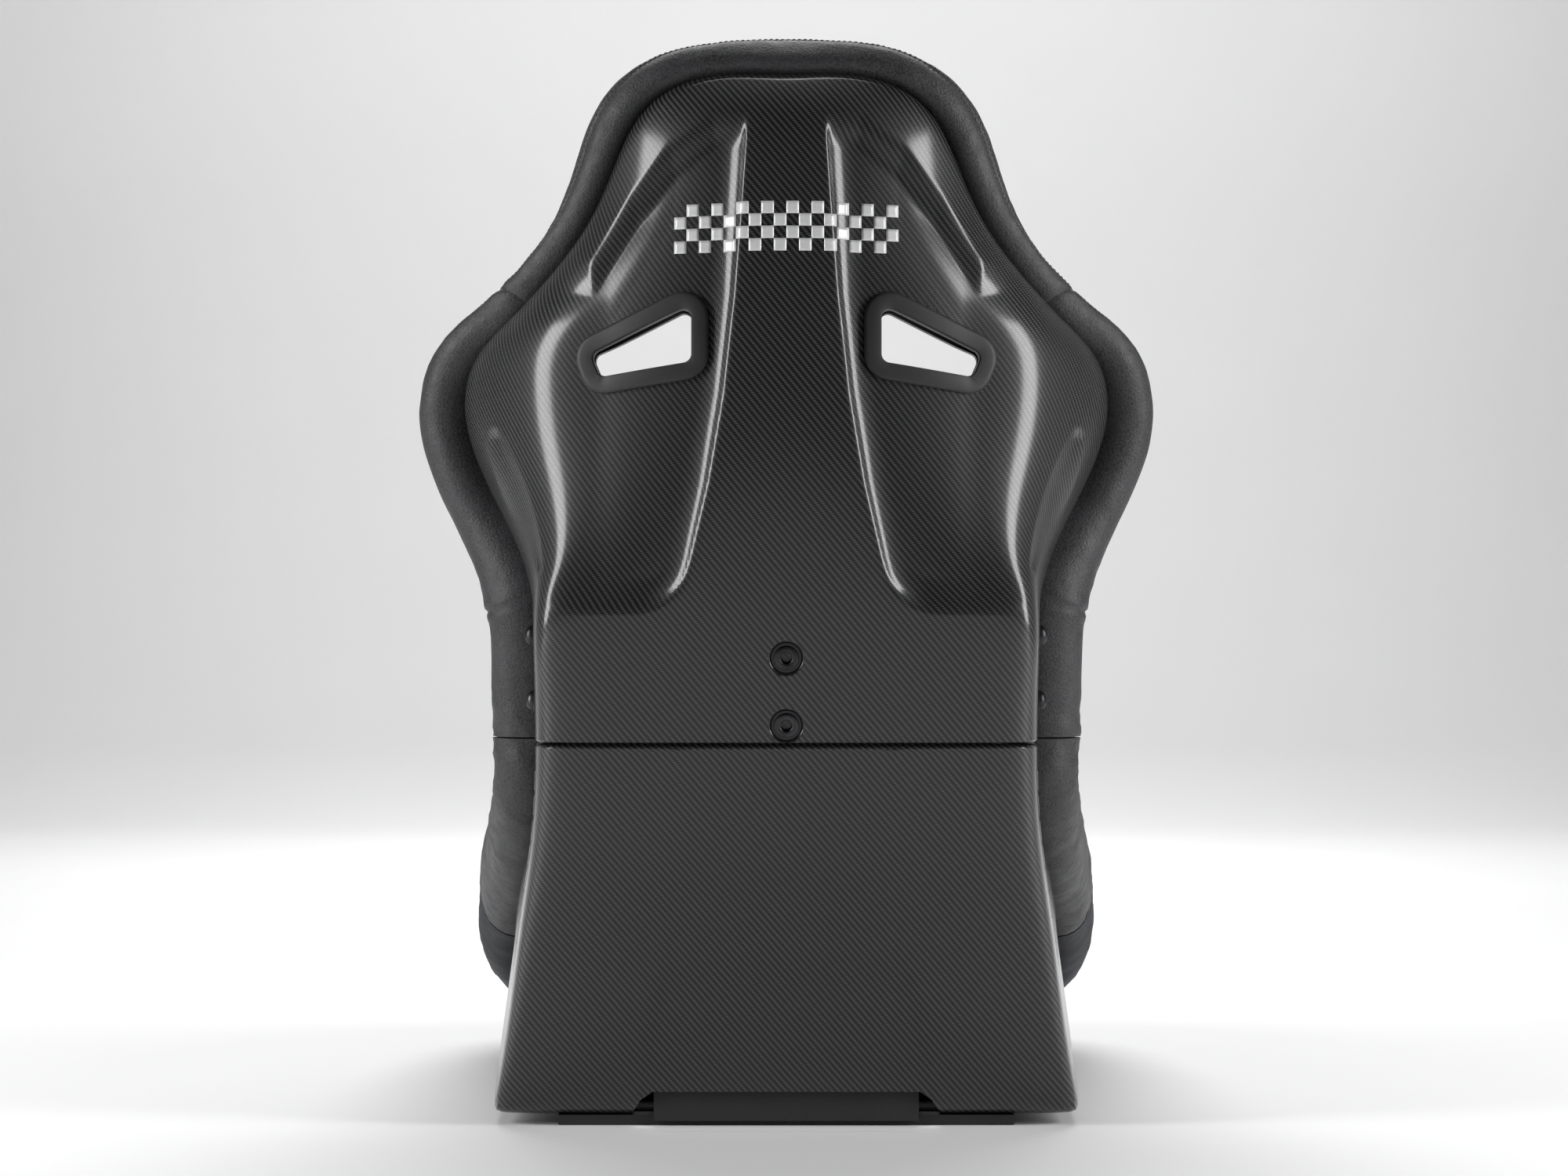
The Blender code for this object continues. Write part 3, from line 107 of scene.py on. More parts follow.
SPLIT = 4.6                  # station where the front roll and the hip roll meet
HIP_END = 11.9               # station where the hip roll's rows grow closer


def fit_spline(params, values):
    params = np.asarray(params, float)
    values = np.asarray(values, float)
    steps = np.diff(params)
    count = len(params)
    matrix = np.eye(count)
    right = np.zeros_like(values)
    for i in range(1, count - 1):
        matrix[i, i - 1:i + 2] = steps[i - 1], 2 * (steps[i - 1] + steps[i]), steps[i]
        rise = (values[i + 1] - values[i]) / steps[i]
        right[i] = 3 * (rise - (values[i] - values[i - 1]) / steps[i - 1])
    bend = np.linalg.solve(matrix, right)

    def evaluate(at):
        i = int(np.clip(np.searchsorted(params, at) - 1, 0, count - 2))
        h = steps[i]
        d = at - params[i]
        slope = (values[i + 1] - values[i]) / h - h * (2 * bend[i] + bend[i + 1]) / 3
        return values[i] + d * (slope + d * (bend[i] + d * (bend[i + 1] - bend[i]) / (3 * h)))
    return evaluate


def make_stations():
    rows = [np.array([0.0, cy, cz, *corner, *edge, math.log(full)])
            for (cy, cz), corner, full, edge in STATIONS]
    flip = np.array([1, 1, 1, -1, 1, 1, -1, 1, 1, 1])
    rows = ([rows[i] * flip for i in (3, 2, 1)] + rows + [rows[-1 - i] * flip for i in (1, 2, 3)])
    rows = np.array(rows)
    moves = np.diff(rows[:, :9], axis=0).reshape(-1, 3, 3)
    lengths = np.linalg.norm(moves, axis=2) @ np.array([0.4, 0.2, 0.4])
    params = np.concatenate([[0.0], np.cumsum(lengths)])
    params = (params - params[3]) / (params[-4] - params[3])
    return params[3:-3], fit_spline(params, rows)


STATION_V, STATION_AT = make_stations()
ROW_T = np.linspace(0.0, 1.0, 241)


def dense_row(v):
    row = STATION_AT(v)
    centre, corner, edge, full = row[0:3], row[3:6], row[6:9], math.exp(row[9])
    t = ROW_T[:, None]
    mid = 2 * full * t * (1 - t)
    line = ((1 - t) ** 2 * centre + mid * corner + t ** 2 * edge) / ((1 - t) ** 2 + mid + t ** 2)
    run = np.concatenate([[0.0], np.cumsum(np.linalg.norm(np.diff(line, axis=0), axis=1))])
    return line, run


def base_row(v, u):
    line, run = dense_row(v)
    at = np.asarray(u) * run[-1]
    return np.stack([np.interp(at, run, line[:, k]) for k in range(3)], axis=-1)


def row_length(v):
    return float(dense_row(v)[1][-1])


def smooth(x, low, high):
    s = np.clip((x - low) / (high - low), 0.0, 1.0)
    return s * s * (3 - 2 * s)


def segment_distance(x, z, a, b):
    """Distance to a line from a to b in the X-Z plane, and the share along it."""
    ax, az = a
    dx, dz = b[0] - ax, b[1] - az
    share = np.clip(((x - ax) * dx + (z - az) * dz) / (dx * dx + dz * dz), 0.0, 1.0)
    return np.hypot(x - ax - share * dx, z - az - share * dz), share


def relief(x, z):
    """Depth of the moulded details, positive into the shell."""
    top = np.interp(x, [p[0] for p in POCKET_TOP], [p[1] for p in POCKET_TOP])
    inside = 1 - smooth(x, 0.148, 0.215)
    below = 1 - smooth(z, top - 0.030, top)
    beside, above = x - np.interp(z, SPINE_Z, SPINE_X), z - POCKET_FOOT_Z
    corner = CORNER_R - np.hypot(np.maximum(CORNER_R - beside, 0.0), np.maximum(CORNER_R - above, 0.0))
    share = np.clip(corner / POCKET_FLANK, 0.0, 1.0)
    pocket = (1 - (1 - share) ** 2.3) * smooth(corner, -0.0010, 0.0065) * below * inside
    distance, share = segment_distance(x, z, *FLUTE)
    width = FLUTE_HALF * np.sin(math.pi * np.clip(0.12 + 0.86 * share, 0, 1)) ** 0.7 + 0.0005
    flute = np.clip(1 - (distance / width) ** 2, 0.0, 1.0) ** 1.3
    side = PANEL_X + (z - PANEL_Z) * PANEL_SLOPE
    panel = 1 - smooth(x, side - 0.003, side + 0.003)
    panel = panel * (1 - smooth(z, 0.110, 0.150)) * smooth(z, 0.02, 0.03)
    return POCKET_DEPTH * pocket + FLUTE_DEPTH * flute + PANEL_DEPTH * panel


def roll_size(v):
    if v < STATION_V[PARTING] - 1e-6:
        at = [v_of(r[0]) for r in BASE_RIM]
        return [float(np.interp(v, at, [r[k] for r in BASE_RIM])) for k in range(1, 5)]
    at = [r[0] for r in BACK_RIM]
    z = STATION_AT(v)[8]
    return [float(np.interp(z, at, [r[k] for r in BACK_RIM])) for k in range(1, 5)]


def v_of(index):
    return float(np.interp(index, range(len(STATION_V)), STATION_V))


def v_at_height(z):
    low, high = STATION_V[PARTING - 2], 1.0
    for _ in range(40):
        mid = 0.5 * (low + high)
        low, high = (mid, high) if STATION_AT(mid)[2] < z else (low, mid)
    return 0.5 * (low + high)


HEM_TURN = 0.0042            # how far the shell turns in at the hem of its roll
HEM_WIDTH = 0.017


def surface(v, u, inward=0.0):
    """Points and normals of the row at v for signed shares u of its half length; u > 0 is +X."""
    u = np.asarray(u, float)
    side = np.where(u < 0, -1.0, 1.0)
    share = np.abs(u)
    step = 0.003
    u_n = np.clip(share, 0.012, 0.992)
    along_v = base_row(v + step, u_n) - base_row(v - step, u_n)
    along_u = base_row(v, np.minimum(u_n + step, 1.0)) - base_row(v, u_n - step)
    normal = np.cross(along_v, along_u)
    normal[share < 1e-6, 0] = 0.0
    normal /= np.linalg.norm(normal, axis=1)[:, None]
    points = base_row(v, share)
    rear = np.clip(normal[:, 1] * 1.15, 0.0, 1.0)
    hem = row_length(v) * (1 - share) - roll_size(v)[0]
    turn = np.clip(1 - hem / HEM_WIDTH, 0.0, 1.0) ** 2 * smooth(hem, -0.018, -0.002)
    strength = HEM_TURN if v > STATION_V[PARTING] + 0.02 else 0.0
    points = points - normal * (relief(points[:, 0], points[:, 2]) * rear + strength * turn + inward)[:, None]
    if v < 1e-6 or v > 1 - 1e-6:
        points[:, 0] = 0.0
    points[:, 0] *= side
    normal[:, 0] *= side
    return points, normal


def plane_shift(points, z):
    return points + ((z - points[:, 2]) / SLIDE[2])[:, None] * SLIDE


# ---- materials ------------------------------------------------------------------------------------------
class Nodes:
    """Small helper to write node trees."""

    def __init__(self, name, colour, roughness, **fixed):
        self.material = bpy.data.materials.new(name)
        self.material.use_nodes = True
        self.tree = self.material.node_tree
        self.shader = self.tree.nodes["Principled BSDF"]
        self.shader.inputs["Base Color"].default_value = (*colour, 1)
        self.shader.inputs["Roughness"].default_value = roughness
        for key, value in fixed.items():
            self.shader.inputs[key.replace("_", " ")].default_value = value

    def node(self, kind, **settings):
        made = self.tree.nodes.new(kind)
        for key, value in settings.items():
            setattr(made, key, value)
        return made

    def link(self, out, socket):
        if isinstance(out, (int, float)):
            socket.default_value = out
        else:
            self.tree.links.new(out, socket)

    def math(self, op, a, b=0.0, c=None):
        made = self.node("ShaderNodeMath", operation=op)
        self.link(a, made.inputs[0])
        self.link(b, made.inputs[1])
        if c is not None:
            self.link(c, made.inputs[2])
        return made.outputs[0]

    def noise(self, coords, scale, detail=2.0, rough=0.5):
        made = self.node("ShaderNodeTexNoise")
        self.link(coords, made.inputs["Vector"])
        made.inputs["Scale"].default_value = scale
        made.inputs["Detail"].default_value = detail
        made.inputs["Roughness"].default_value = rough
        return made.outputs["Fac"]

    def voronoi(self, coords, scale, feature='F1'):
        made = self.node("ShaderNodeTexVoronoi", feature=feature)
        self.link(coords, made.inputs["Vector"])
        made.inputs["Scale"].default_value = scale
        return made.outputs["Distance"]

    def coords(self):
        return self.node("ShaderNodeTexCoord").outputs["Object"]

    def span(self, value, low, high, to_low, to_high):
        made = self.node("ShaderNodeMapRange")
        self.link(value, made.inputs["Value"])
        for key, number in (("From Min", low), ("From Max", high), ("To Min", to_low), ("To Max", to_high)):
            made.inputs[key].default_value = number
        return made.outputs["Result"]

    def mix(self, factor, a, b):
        made = self.node("ShaderNodeMix", data_type='RGBA')
        self.link(factor, made.inputs[0])
        for value, socket in ((a, made.inputs[6]), (b, made.inputs[7])):
            if isinstance(value, tuple):
                socket.default_value = (*value, 1)
            else:
                self.link(value, socket)
        return made.outputs[2]

    def bump(self, height, strength, distance, normal=None):
        made = self.node("ShaderNodeBump")
        made.inputs["Strength"].default_value = strength
        made.inputs["Distance"].default_value = distance
        self.link(height, made.inputs["Height"])
        if normal is not None:
            self.link(normal, made.inputs["Normal"])
        return made.outputs["Normal"]

    def into(self, name, out):
        self.link(out, self.shader.inputs[name])


TOW = 0.00150


def carbon_material():
    """2x2 twill under a clear coat, its base colour holding painted sheen on the tows; the weave follows the
    arc lengths stored in the UV map.
    """
    m = Nodes("carbon_twill", (0.04, 0.04, 0.042), 0.34, Coat_Weight=0.85, Coat_Roughness=0.17, Coat_IOR=1.45,
              Specular_IOR_Level=0.22)
    uv = m.node("ShaderNodeUVMap", uv_map="weave").outputs[0]
    turn = m.node("ShaderNodeVectorRotate", rotation_type='Z_AXIS')
    turn.inputs["Angle"].default_value = math.radians(5.5)
    m.link(uv, turn.inputs["Vector"])
    wobble = m.node("ShaderNodeSeparateXYZ")
    m.link(turn.outputs[0], wobble.inputs[0])
    x = m.math('DIVIDE', wobble.outputs[0], TOW)
    y = m.math('DIVIDE', wobble.outputs[1], TOW)
    i = m.math('FLOOR', x)
    j = m.math('FLOOR', y)
    fx = m.math('FRACT', x)
    fy = m.math('FRACT', y)
    phase = m.math('FLOORED_MODULO', m.math('ADD', i, j), 4.0)
    weft = m.math('GREATER_THAN', phase, 1.5)
    warp_run = m.math('MULTIPLY', m.math('ADD', phase, fy), 0.5)
    weft_run = m.math('MULTIPLY', m.math('ADD', m.math('SUBTRACT', phase, 2.0), fx), 0.5)
    run = m.math('ADD', m.math('MULTIPLY', weft_run, weft),
                 m.math('MULTIPLY', warp_run, m.math('SUBTRACT', 1.0, weft)))
    across = m.math('ADD', m.math('MULTIPLY', fy, weft),
                    m.math('MULTIPLY', fx, m.math('SUBTRACT', 1.0, weft)))
    arch = m.math('SINE', m.math('MULTIPLY', run, math.pi))
    side = m.math('POWER', m.math('SINE', m.math('MULTIPLY', across, math.pi)), 0.6)
    height = m.math('MULTIPLY', side, m.math('MULTIPLY_ADD', arch, 0.6, 0.4))
    fibre = m.node("ShaderNodeCombineXYZ")
    m.link(m.math('MULTIPLY', x, 9.0), fibre.inputs[0])
    m.link(m.math('MULTIPLY', y, 9.0), fibre.inputs[1])
    grain = m.noise(fibre.outputs[0], 1.0, 1.0)
    cloud = m.noise(uv, 14.0, 2.0)
    # painted reflection and shade: weft tows are lighter than warp tows, and each tow's crown is lighter than
    # its sides, to stand in for the tows' anisotropic sheen; the grain and cloud mixes below are the fibre
    # texture and random tone
    dark = m.mix(height, (0.0008, 0.0008, 0.0009), (0.0040, 0.0040, 0.0044))
    light = m.mix(height, (0.0060, 0.0060, 0.0064), (0.100, 0.101, 0.104))
    painted_sheen_and_tone = m.mix(weft, dark, light)
    painted_sheen_and_tone = m.mix(m.span(grain, 0.3, 0.7, 0.0, 0.25), painted_sheen_and_tone, (0.004, 0.004, 0.004))
    painted_sheen_and_tone = m.mix(m.span(cloud, 0.3, 0.7, 0.0, 0.10), painted_sheen_and_tone, (0.03, 0.03, 0.031))
    m.into("Base Color", painted_sheen_and_tone)
    m.into("Roughness", m.span(height, 0.0, 1.0, 0.55, 0.30))
    m.into("Normal", m.bump(height, 0.55, 0.00035))
    return m.material


def leather_material():
    m = Nodes("leather_black", (0.03, 0.03, 0.032), 0.5, Specular_IOR_Level=0.42)
    at = m.coords()
    cells = m.voronoi(at, 620.0, 'SMOOTH_F1')
    fine = m.voronoi(at, 1500.0)
    large = m.noise(at, 26.0, 3.0)
    pores = m.noise(at, 2600.0, 2.0)
    height = m.math('ADD', m.math('MULTIPLY', cells, -1.0), m.math('MULTIPLY', fine, -0.35))
    height = m.math('ADD', height, m.math('MULTIPLY', pores, 0.18))
    # painted shade: the crevices between the grain's pebbles are darker and the pebble tops lighter; the
    # large noise mix below is random tone
    shade = m.mix(m.span(cells, 0.15, 0.65, 0.0, 1.0), (0.050, 0.0505, 0.0535), (0.018, 0.018, 0.019))
    shade = m.mix(m.span(large, 0.35, 0.7, 0.0, 0.35), shade, (0.060, 0.061, 0.065))
    m.into("Base Color", shade)
    m.into("Roughness", m.span(m.noise(at, 90.0, 3.0), 0.3, 0.7, 0.44, 0.58))
    m.into("Normal", m.bump(height, 0.60, 0.00055, m.bump(large, 0.35, 0.004)))
    return m.material


def suede_material():
    m = Nodes("suede_black", (0.012, 0.012, 0.012), 0.96, Sheen_Weight=0.32, Sheen_Roughness=0.45,
              Specular_IOR_Level=0.12)
    m.shader.inputs["Sheen Tint"].default_value = (0.75, 0.77, 0.82, 1)
    at = m.coords()
    nap = m.noise(at, 38.0, 4.0, 0.62)
    hairs = m.noise(at, 2100.0, 3.0, 0.7)
    shade = m.mix(m.span(nap, 0.32, 0.7, 0.0, 1.0), (0.0065, 0.0065, 0.007), (0.021, 0.021, 0.0225))
    shade = m.mix(m.span(hairs, 0.3, 0.7, 0.0, 0.6), shade, (0.030, 0.030, 0.032))
    m.into("Base Color", shade)
    m.into("Normal", m.bump(hairs, 0.5, 0.0005, m.bump(nap, 0.4, 0.002)))
    return m.material


def plastic_material(name, low):
    m = Nodes(name, (0.022, 0.022, 0.023), 0.5, Specular_IOR_Level=0.45)
    at = m.coords()
    grain = m.noise(at, 1500.0, 2.0)
    cloud = m.noise(at, 20.0, 3.0)
    m.into("Base Color", m.mix(cloud, (0.018, 0.018, 0.019), (0.030, 0.030, 0.031)))
    m.into("Roughness", m.span(grain, 0.3, 0.7, low, low + 0.14))
    m.into("Normal", m.bump(grain, 0.35, 0.0002))
    return m.material


def metal_material(name, dark, light, rough):
    m = Nodes(name, light, rough, Metallic=1.0)
    at = m.coords()
    streak = m.noise(at, 900.0, 3.0)
    cloud = m.noise(at, 60.0, 3.0)
    m.into("Base Color", m.mix(m.span(cloud, 0.3, 0.7, 0.0, 1.0), dark, light))
    m.into("Roughness", m.span(streak, 0.3, 0.7, rough - 0.07, rough + 0.10))
    m.into("Normal", m.bump(streak, 0.15, 0.0001))
    return m.material


def thread_material():
    m = Nodes("thread_black", (0.03, 0.03, 0.032), 0.6, Sheen_Weight=0.2)
    twist = m.noise(m.coords(), 3000.0, 1.0)
    m.into("Base Color", m.mix(twist, (0.022, 0.022, 0.024), (0.07, 0.07, 0.073)))
    return m.material


def vinyl_material():
    m = Nodes("vinyl_white", (0.8, 0.8, 0.8), 0.3, Coat_Weight=0.6, Coat_Roughness=0.06)
    wear = m.noise(m.coords(), 160.0, 4.0)
    m.into("Base Color", m.mix(m.span(wear, 0.35, 0.75, 0.0, 1.0), (0.80, 0.80, 0.80), (0.70, 0.705, 0.71)))
    m.into("Roughness", m.span(wear, 0.3, 0.7, 0.24, 0.36))
    return m.material


# each look is a material and the record's slot it belongs to
CARBON = carbon_material(), "carbon"
LEATHER = leather_material(), "leather"
SUEDE = suede_material(), "suede"
PLASTIC = plastic_material("plastic_black", 0.44), "black_plastic"
DARK_STEEL = metal_material("steel_dark", (0.030, 0.030, 0.032), (0.070, 0.070, 0.074), 0.36), "dark_steel"
PAN = plastic_material("plastic_pan", 0.62)
ZINC = metal_material("steel_zinc", (0.42, 0.42, 0.43), (0.56, 0.56, 0.57), 0.34)
THREAD = thread_material(), "leather"
VINYL = vinyl_material(), "carbon"


# ---- mesh helpers -----------------------------------------------------------------------------------------
def new_object(name, points, faces, look, body, sharp=None, closed=True):
    mesh = bpy.data.meshes.new(name)
    mesh.from_pydata([tuple(p) for p in points], [], [tuple(int(i) for i in f) for f in faces])
    mesh.update()
    item = dress(name, mesh, look, body, sharp)
    if closed:
        outward(mesh)
    return item


def dress(name, mesh, look, body, sharp=None):
    """Object of the seat from a mesh, in its material, riding on its body."""
    item = place(name, mesh)
    mesh.materials.clear()
    mesh.materials.append(look[0])
    mesh.shade_smooth()
    if sharp:
        mesh.set_sharp_from_angle(angle=math.radians(sharp))
    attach(item, body)
    return item


def outward(mesh):
    """Turn the faces of closed forms outward."""
    form = bmesh.new()
    form.from_mesh(mesh)
    bmesh.ops.recalc_face_normals(form, faces=form.faces)
    form.to_mesh(mesh)
    form.free()


def grid(rows, columns, start=0, flip=False):
    faces = []
    for r in range(rows - 1):
        for c in range(columns - 1):
            a = start + r * columns + c
            face = (a, a + columns, a + columns + 1, a + 1)
            faces.append(face[::-1] if flip else face)
    return faces


def place(name, mesh):
    """Object of the scene from its data."""
    item = bpy.data.objects.new(name, mesh)
    bpy.context.scene.collection.objects.link(item)
    return item


def settle(item):
    """Mesh of an object with its modifiers applied."""
    bpy.context.view_layer.update()
    graph = bpy.context.evaluated_depsgraph_get()
    return bpy.data.meshes.new_from_object(item.evaluated_get(graph))


def boolean(mesh, cutters):
    """Mesh with the cutters, a list of objects, taken away."""
    item = place("working", mesh)
    for cutter in cutters:
        modifier = item.modifiers.new(cutter.name, 'BOOLEAN')
        modifier.operation = 'DIFFERENCE'
        modifier.solver = 'EXACT'
        modifier.object = cutter
    made = settle(item)
    bpy.data.objects.remove(item)
    return made


def drop(*items):
    for item in items:
        bpy.data.objects.remove(item)


def prism(name, loop, axis, low, high):
    """Prism through a plan outline, along Y or Z."""
    form = bmesh.new()
    rings = []
    for level in (low, high):
        rings.append([form.verts.new((p[0], level, p[1]) if axis == 'Y' else (p[0], p[1], level))
                      for p in loop])
    form.faces.new(rings[0])
    form.faces.new(rings[1])
    for i in range(len(loop)):
        j = (i + 1) % len(loop)
        form.faces.new((rings[0][i], rings[0][j], rings[1][j], rings[1][i]))
    bmesh.ops.recalc_face_normals(form, faces=form.faces)
    mesh = bpy.data.meshes.new(name)
    form.to_mesh(mesh)
    form.free()
    return place(name, mesh)


def lathe(profile, sides, matrix):
    """Points and faces of an open profile of (r, z) turned round Z; ends on the axis are closed."""
    points, faces = [], []
    for r, z in profile:
        for k in range(sides):
            a = 2 * math.pi * k / sides
            points.append(matrix @ Vector((r * math.cos(a), r * math.sin(a), z)))
    for i in range(len(profile) - 1):
        for k in range(sides):
            n = (k + 1) % sides
            faces.append((i * sides + k, i * sides + n, (i + 1) * sides + n, (i + 1) * sides + k))
    if profile[0][0] < 1e-4:
        faces.append(tuple(range(sides)))
    if profile[-1][0] < 1e-4:
        faces.append(tuple(range((len(profile) - 1) * sides, len(profile) * sides))[::-1])
    return points, faces


def frame_matrix(origin, out, up):
    out = Vector(out).normalized()
    side = Vector(up).cross(out).normalized()
    matrix = Matrix((side, out.cross(side), out)).transposed().to_4x4()
    matrix.translation = Vector(origin)
    return matrix


def rounded_loop(corners, radius, outset, between=0, steps=3):
    loop = []
    count = len(corners)
    for i, corner in enumerate(corners):
        corner = np.array(corner)
        before = np.array(corners[i - 1]) - corner
        after = np.array(corners[(i + 1) % count]) - corner
        before = before / np.linalg.norm(before)
        after = after / np.linalg.norm(after)
        bisector = (before + after) / np.linalg.norm(before + after)
        half = 0.5 * math.acos(float(np.clip(np.dot(before, after), -1, 1)))
        centre = corner + bisector * radius / math.sin(half)
        middle = math.atan2(-bisector[1], -bisector[0])
        spread = 0.5 * math.pi - half
        for a in np.linspace(middle + spread, middle - spread, steps):
            loop.append(centre + (radius + outset) * np.array([math.cos(a), math.sin(a)]))
    if not between:
        return loop
    filled = []
    for i, point in enumerate(loop):
        filled.append(point)
        if i % steps == steps - 1:
            target = loop[(i + 1) % len(loop)]
            filled += [point + (target - point) * k / (between + 1) for k in range(1, between + 1)]
    return filled


def tree_of(mesh):
    form = bmesh.new()
    form.from_mesh(mesh)
    tree = BVHTree.FromBMesh(form)
    form.free()
    return tree


def hit_y(tree, x, z, side):
    return tree.ray_cast(Vector((x, side, z)), Vector((0.0, -side, 0.0)))[0].y


# ---- shells -------------------------------------------------------------------------------------------
SLOT_CORNERS = ((0.076, 0.674), (0.158, 0.636), (0.150, 0.617), (0.076, 0.628))
SLOT_CORNERS_RIGHT = tuple((-x, z) for x, z in SLOT_CORNERS[::-1])
SLOT_RADIUS = 0.007
SLOT_CLEAR = 0.0028          # the shell's opening beyond the trim's
BUSH_MID_Z = 0.3629
PITCH = 0.056
LEVELS = (("upper", 0.5 * PITCH), ("lower", -0.5 * PITCH))      # of the fasteners, from the middle
CUT_OUT = ((0.137, -0.02), (0.131, 0.006), (0.121, 0.022), (0.111, 0.029))   # half of the rear cut-out


def section_lengths(grid_points):
    """Length round the horizontal section from the centre plane to each grid point, and the height run.

    A column of the grid crosses each height once, so the crossings at one height make its section.
    """
    count, columns = grid_points.shape[:2]
    middle = columns // 2
    spine = grid_points[:, middle]
    top = int(np.argmax(spine[:, 2]))
    levels = np.linspace(0.004, 0.885, 300)
    rise = np.concatenate([[0.0], np.cumsum(np.linalg.norm(np.diff(spine[:top + 1], axis=0), axis=1))])
    start = int(np.argmax(spine[:, 2] > 0.03)) if spine[0, 2] < 0.03 else 0
    heights = np.interp(grid_points[:, :, 2], spine[start:top + 1, 2], rise[start:],
                        left=np.nan, right=np.nan)
    below = np.isnan(heights) & (grid_points[:, :, 2] < spine[start, 2])
    heights = np.where(below, rise[start] + grid_points[:, :, 2] - spine[start, 2], heights)
    heights = np.where(np.isnan(heights), rise[-1] + grid_points[:, :, 2] - spine[top, 2], heights)
    lengths = np.zeros((count, columns))
    for sign in (1, -1):
        order = range(middle, columns) if sign > 0 else range(middle, -1, -1)
        last, run = None, np.zeros(len(levels))
        for c in order:
            line = grid_points[:, c]
            z = np.maximum.accumulate(line[:, 2])
            point = np.stack([np.interp(levels, z, line[:, 0]), np.interp(levels, z, line[:, 1])], axis=1)
            inside = (levels >= z[0]) & (levels <= z[-1])
            if last is not None:
                step = np.where(was_inside, np.linalg.norm(point - last, axis=1), np.abs(point[:, 0]))
                run = run + np.where(inside, step, 0.0)
            last, was_inside = point, inside
            crossed = levels[inside]
            height = np.clip(line[:, 2], crossed[0], crossed[-1])
            lengths[:, c] = sign * (np.interp(height, levels, run - np.abs(point[:, 0])) + np.abs(line[:, 0]))
    return lengths, heights


def shell_mesh(name, rows):
    """Closed laminate from outer rows and their normals, with lengths over the surface for the weave."""
    outer = np.array([r[0] for r in rows])
    inner = np.array([r[0] - r[1] * SHELL_T for r in rows])
    count, columns = outer.shape[:2]
    size = count * columns
    faces = grid(count, columns) + grid(count, columns, size, True)
    for a in range(columns - 1):
        for r in (0, count - 1):
            if abs(outer[r, -1, 0]) < 1e-9:
                continue
            p = r * columns + a
            faces.append((p, p + 1, size + p + 1, size + p) if r == 0 else (p + 1, p, size + p, size + p + 1))
    for r in range(count - 1):
        for c in (0, columns - 1):
            p, q = r * columns + c, (r + 1) * columns + c
            faces.append((q, p, size + p, size + q) if c == 0 else (p, q, size + q, size + p))
    mesh = bpy.data.meshes.new(name)
    both = np.concatenate([outer.reshape(-1, 3), inner.reshape(-1, 3)])
    mesh.from_pydata([tuple(p) for p in both], [], faces)
    outward(mesh)
    lengths, heights = section_lengths(outer)
    flat = np.stack([-lengths.ravel(), heights.ravel()], axis=1)
    flat = np.concatenate([flat, flat])
    plan = np.concatenate([outer.reshape(-1, 3)] * 2)[:, :2] * np.array([-1.0, 1.0])
    uv = mesh.uv_layers.new(name="weave")
    loops = np.zeros(len(mesh.loops), dtype=np.int32)
    mesh.loops.foreach_get("vertex_index", loops)
    values = flat[loops]
    for face in mesh.polygons:
        if abs(face.normal.z) > 0.75 and face.center.z < 0.04:
            span = slice(face.loop_start, face.loop_start + face.loop_total)
            values[span] = plan[loops[span]]
    uv.data.foreach_set("uv", values.ravel())
    form = bmesh.new()
    form.from_mesh(mesh)
    bmesh.ops.remove_doubles(form, verts=form.verts, dist=1e-6)
    bmesh.ops.recalc_face_normals(form, faces=form.faces)
    form.to_mesh(mesh)
    form.free()
    return mesh


def signed(columns):
    """Shares of the half length from edge to edge, with columns to each side."""
    half = np.linspace(0.0, 1.0, columns)
    return np.concatenate([-half[:0:-1], half])


def make_back_shell():
    """Skin from the parting line, where its edge is eased, to the head."""
    shares = signed(150)
    rows = [surface(v, shares) for v in np.linspace(v_of(PARTING), 1.0, 190)]
    first, normal = rows[0]
    first = plane_shift(first, PART_Z + PART_GAP)
    eased = [(first - normal * inset + SLIDE * lift, normal)
             for lift, inset in ((0.0, 0.0010), (0.0004, 0.0003), (0.0012, 0.0))]
    return shell_mesh("back_shell_skin", eased + rows[1:])


def make_base_shell():
    """Skin up to the parting line with its rounded lip, then the joggled band behind the back shell."""
    shares = signed(112)
    levels = np.concatenate([np.linspace(0.0, v_of(8), 60), np.linspace(v_of(8), v_of(11), 50)[1:],
                             np.linspace(v_of(11), v_of(PARTING), 50)[1:]])
    rows = [surface(v, shares) for v in levels]
    top, normal = rows.pop()
    top = plane_shift(top, PART_Z)
    radius = 0.0030
    for a in (0.0, 25.0, 50.0, 72.0, 90.0):
        c = math.radians(a)
        rows.append((top - SLIDE * radius * (1 - math.sin(c)) - normal * radius * (1 - math.cos(c)), normal))
    lip_end = 1 - roll_size(v_of(PARTING) - 1e-4)[0] / row_length(levels[-1]) - 0.015
    lip, lip_normal = surface(v_of(PARTING), shares * lip_end, SHELL_T + LAP_GAP)
    for z in (PART_Z + 0.0030, PART_Z + 0.0045, 0.34, 0.36, 0.38, 0.40, LIP_TOP_Z - 0.0008, LIP_TOP_Z):
        rows.append((plane_shift(lip, z), lip_normal))
    return shell_mesh("base_shell_skin", rows)


def bush_frame(tree, level):
    y = hit_y(tree, 0.0, BUSH_MID_Z, 1.0)
    normal = (0.0, math.cos(RECLINE), -math.sin(RECLINE))
    middle = frame_matrix((0.0, y, BUSH_MID_Z), normal, SLIDE)
    return middle @ Matrix.Translation((0.0, level, 0.0))


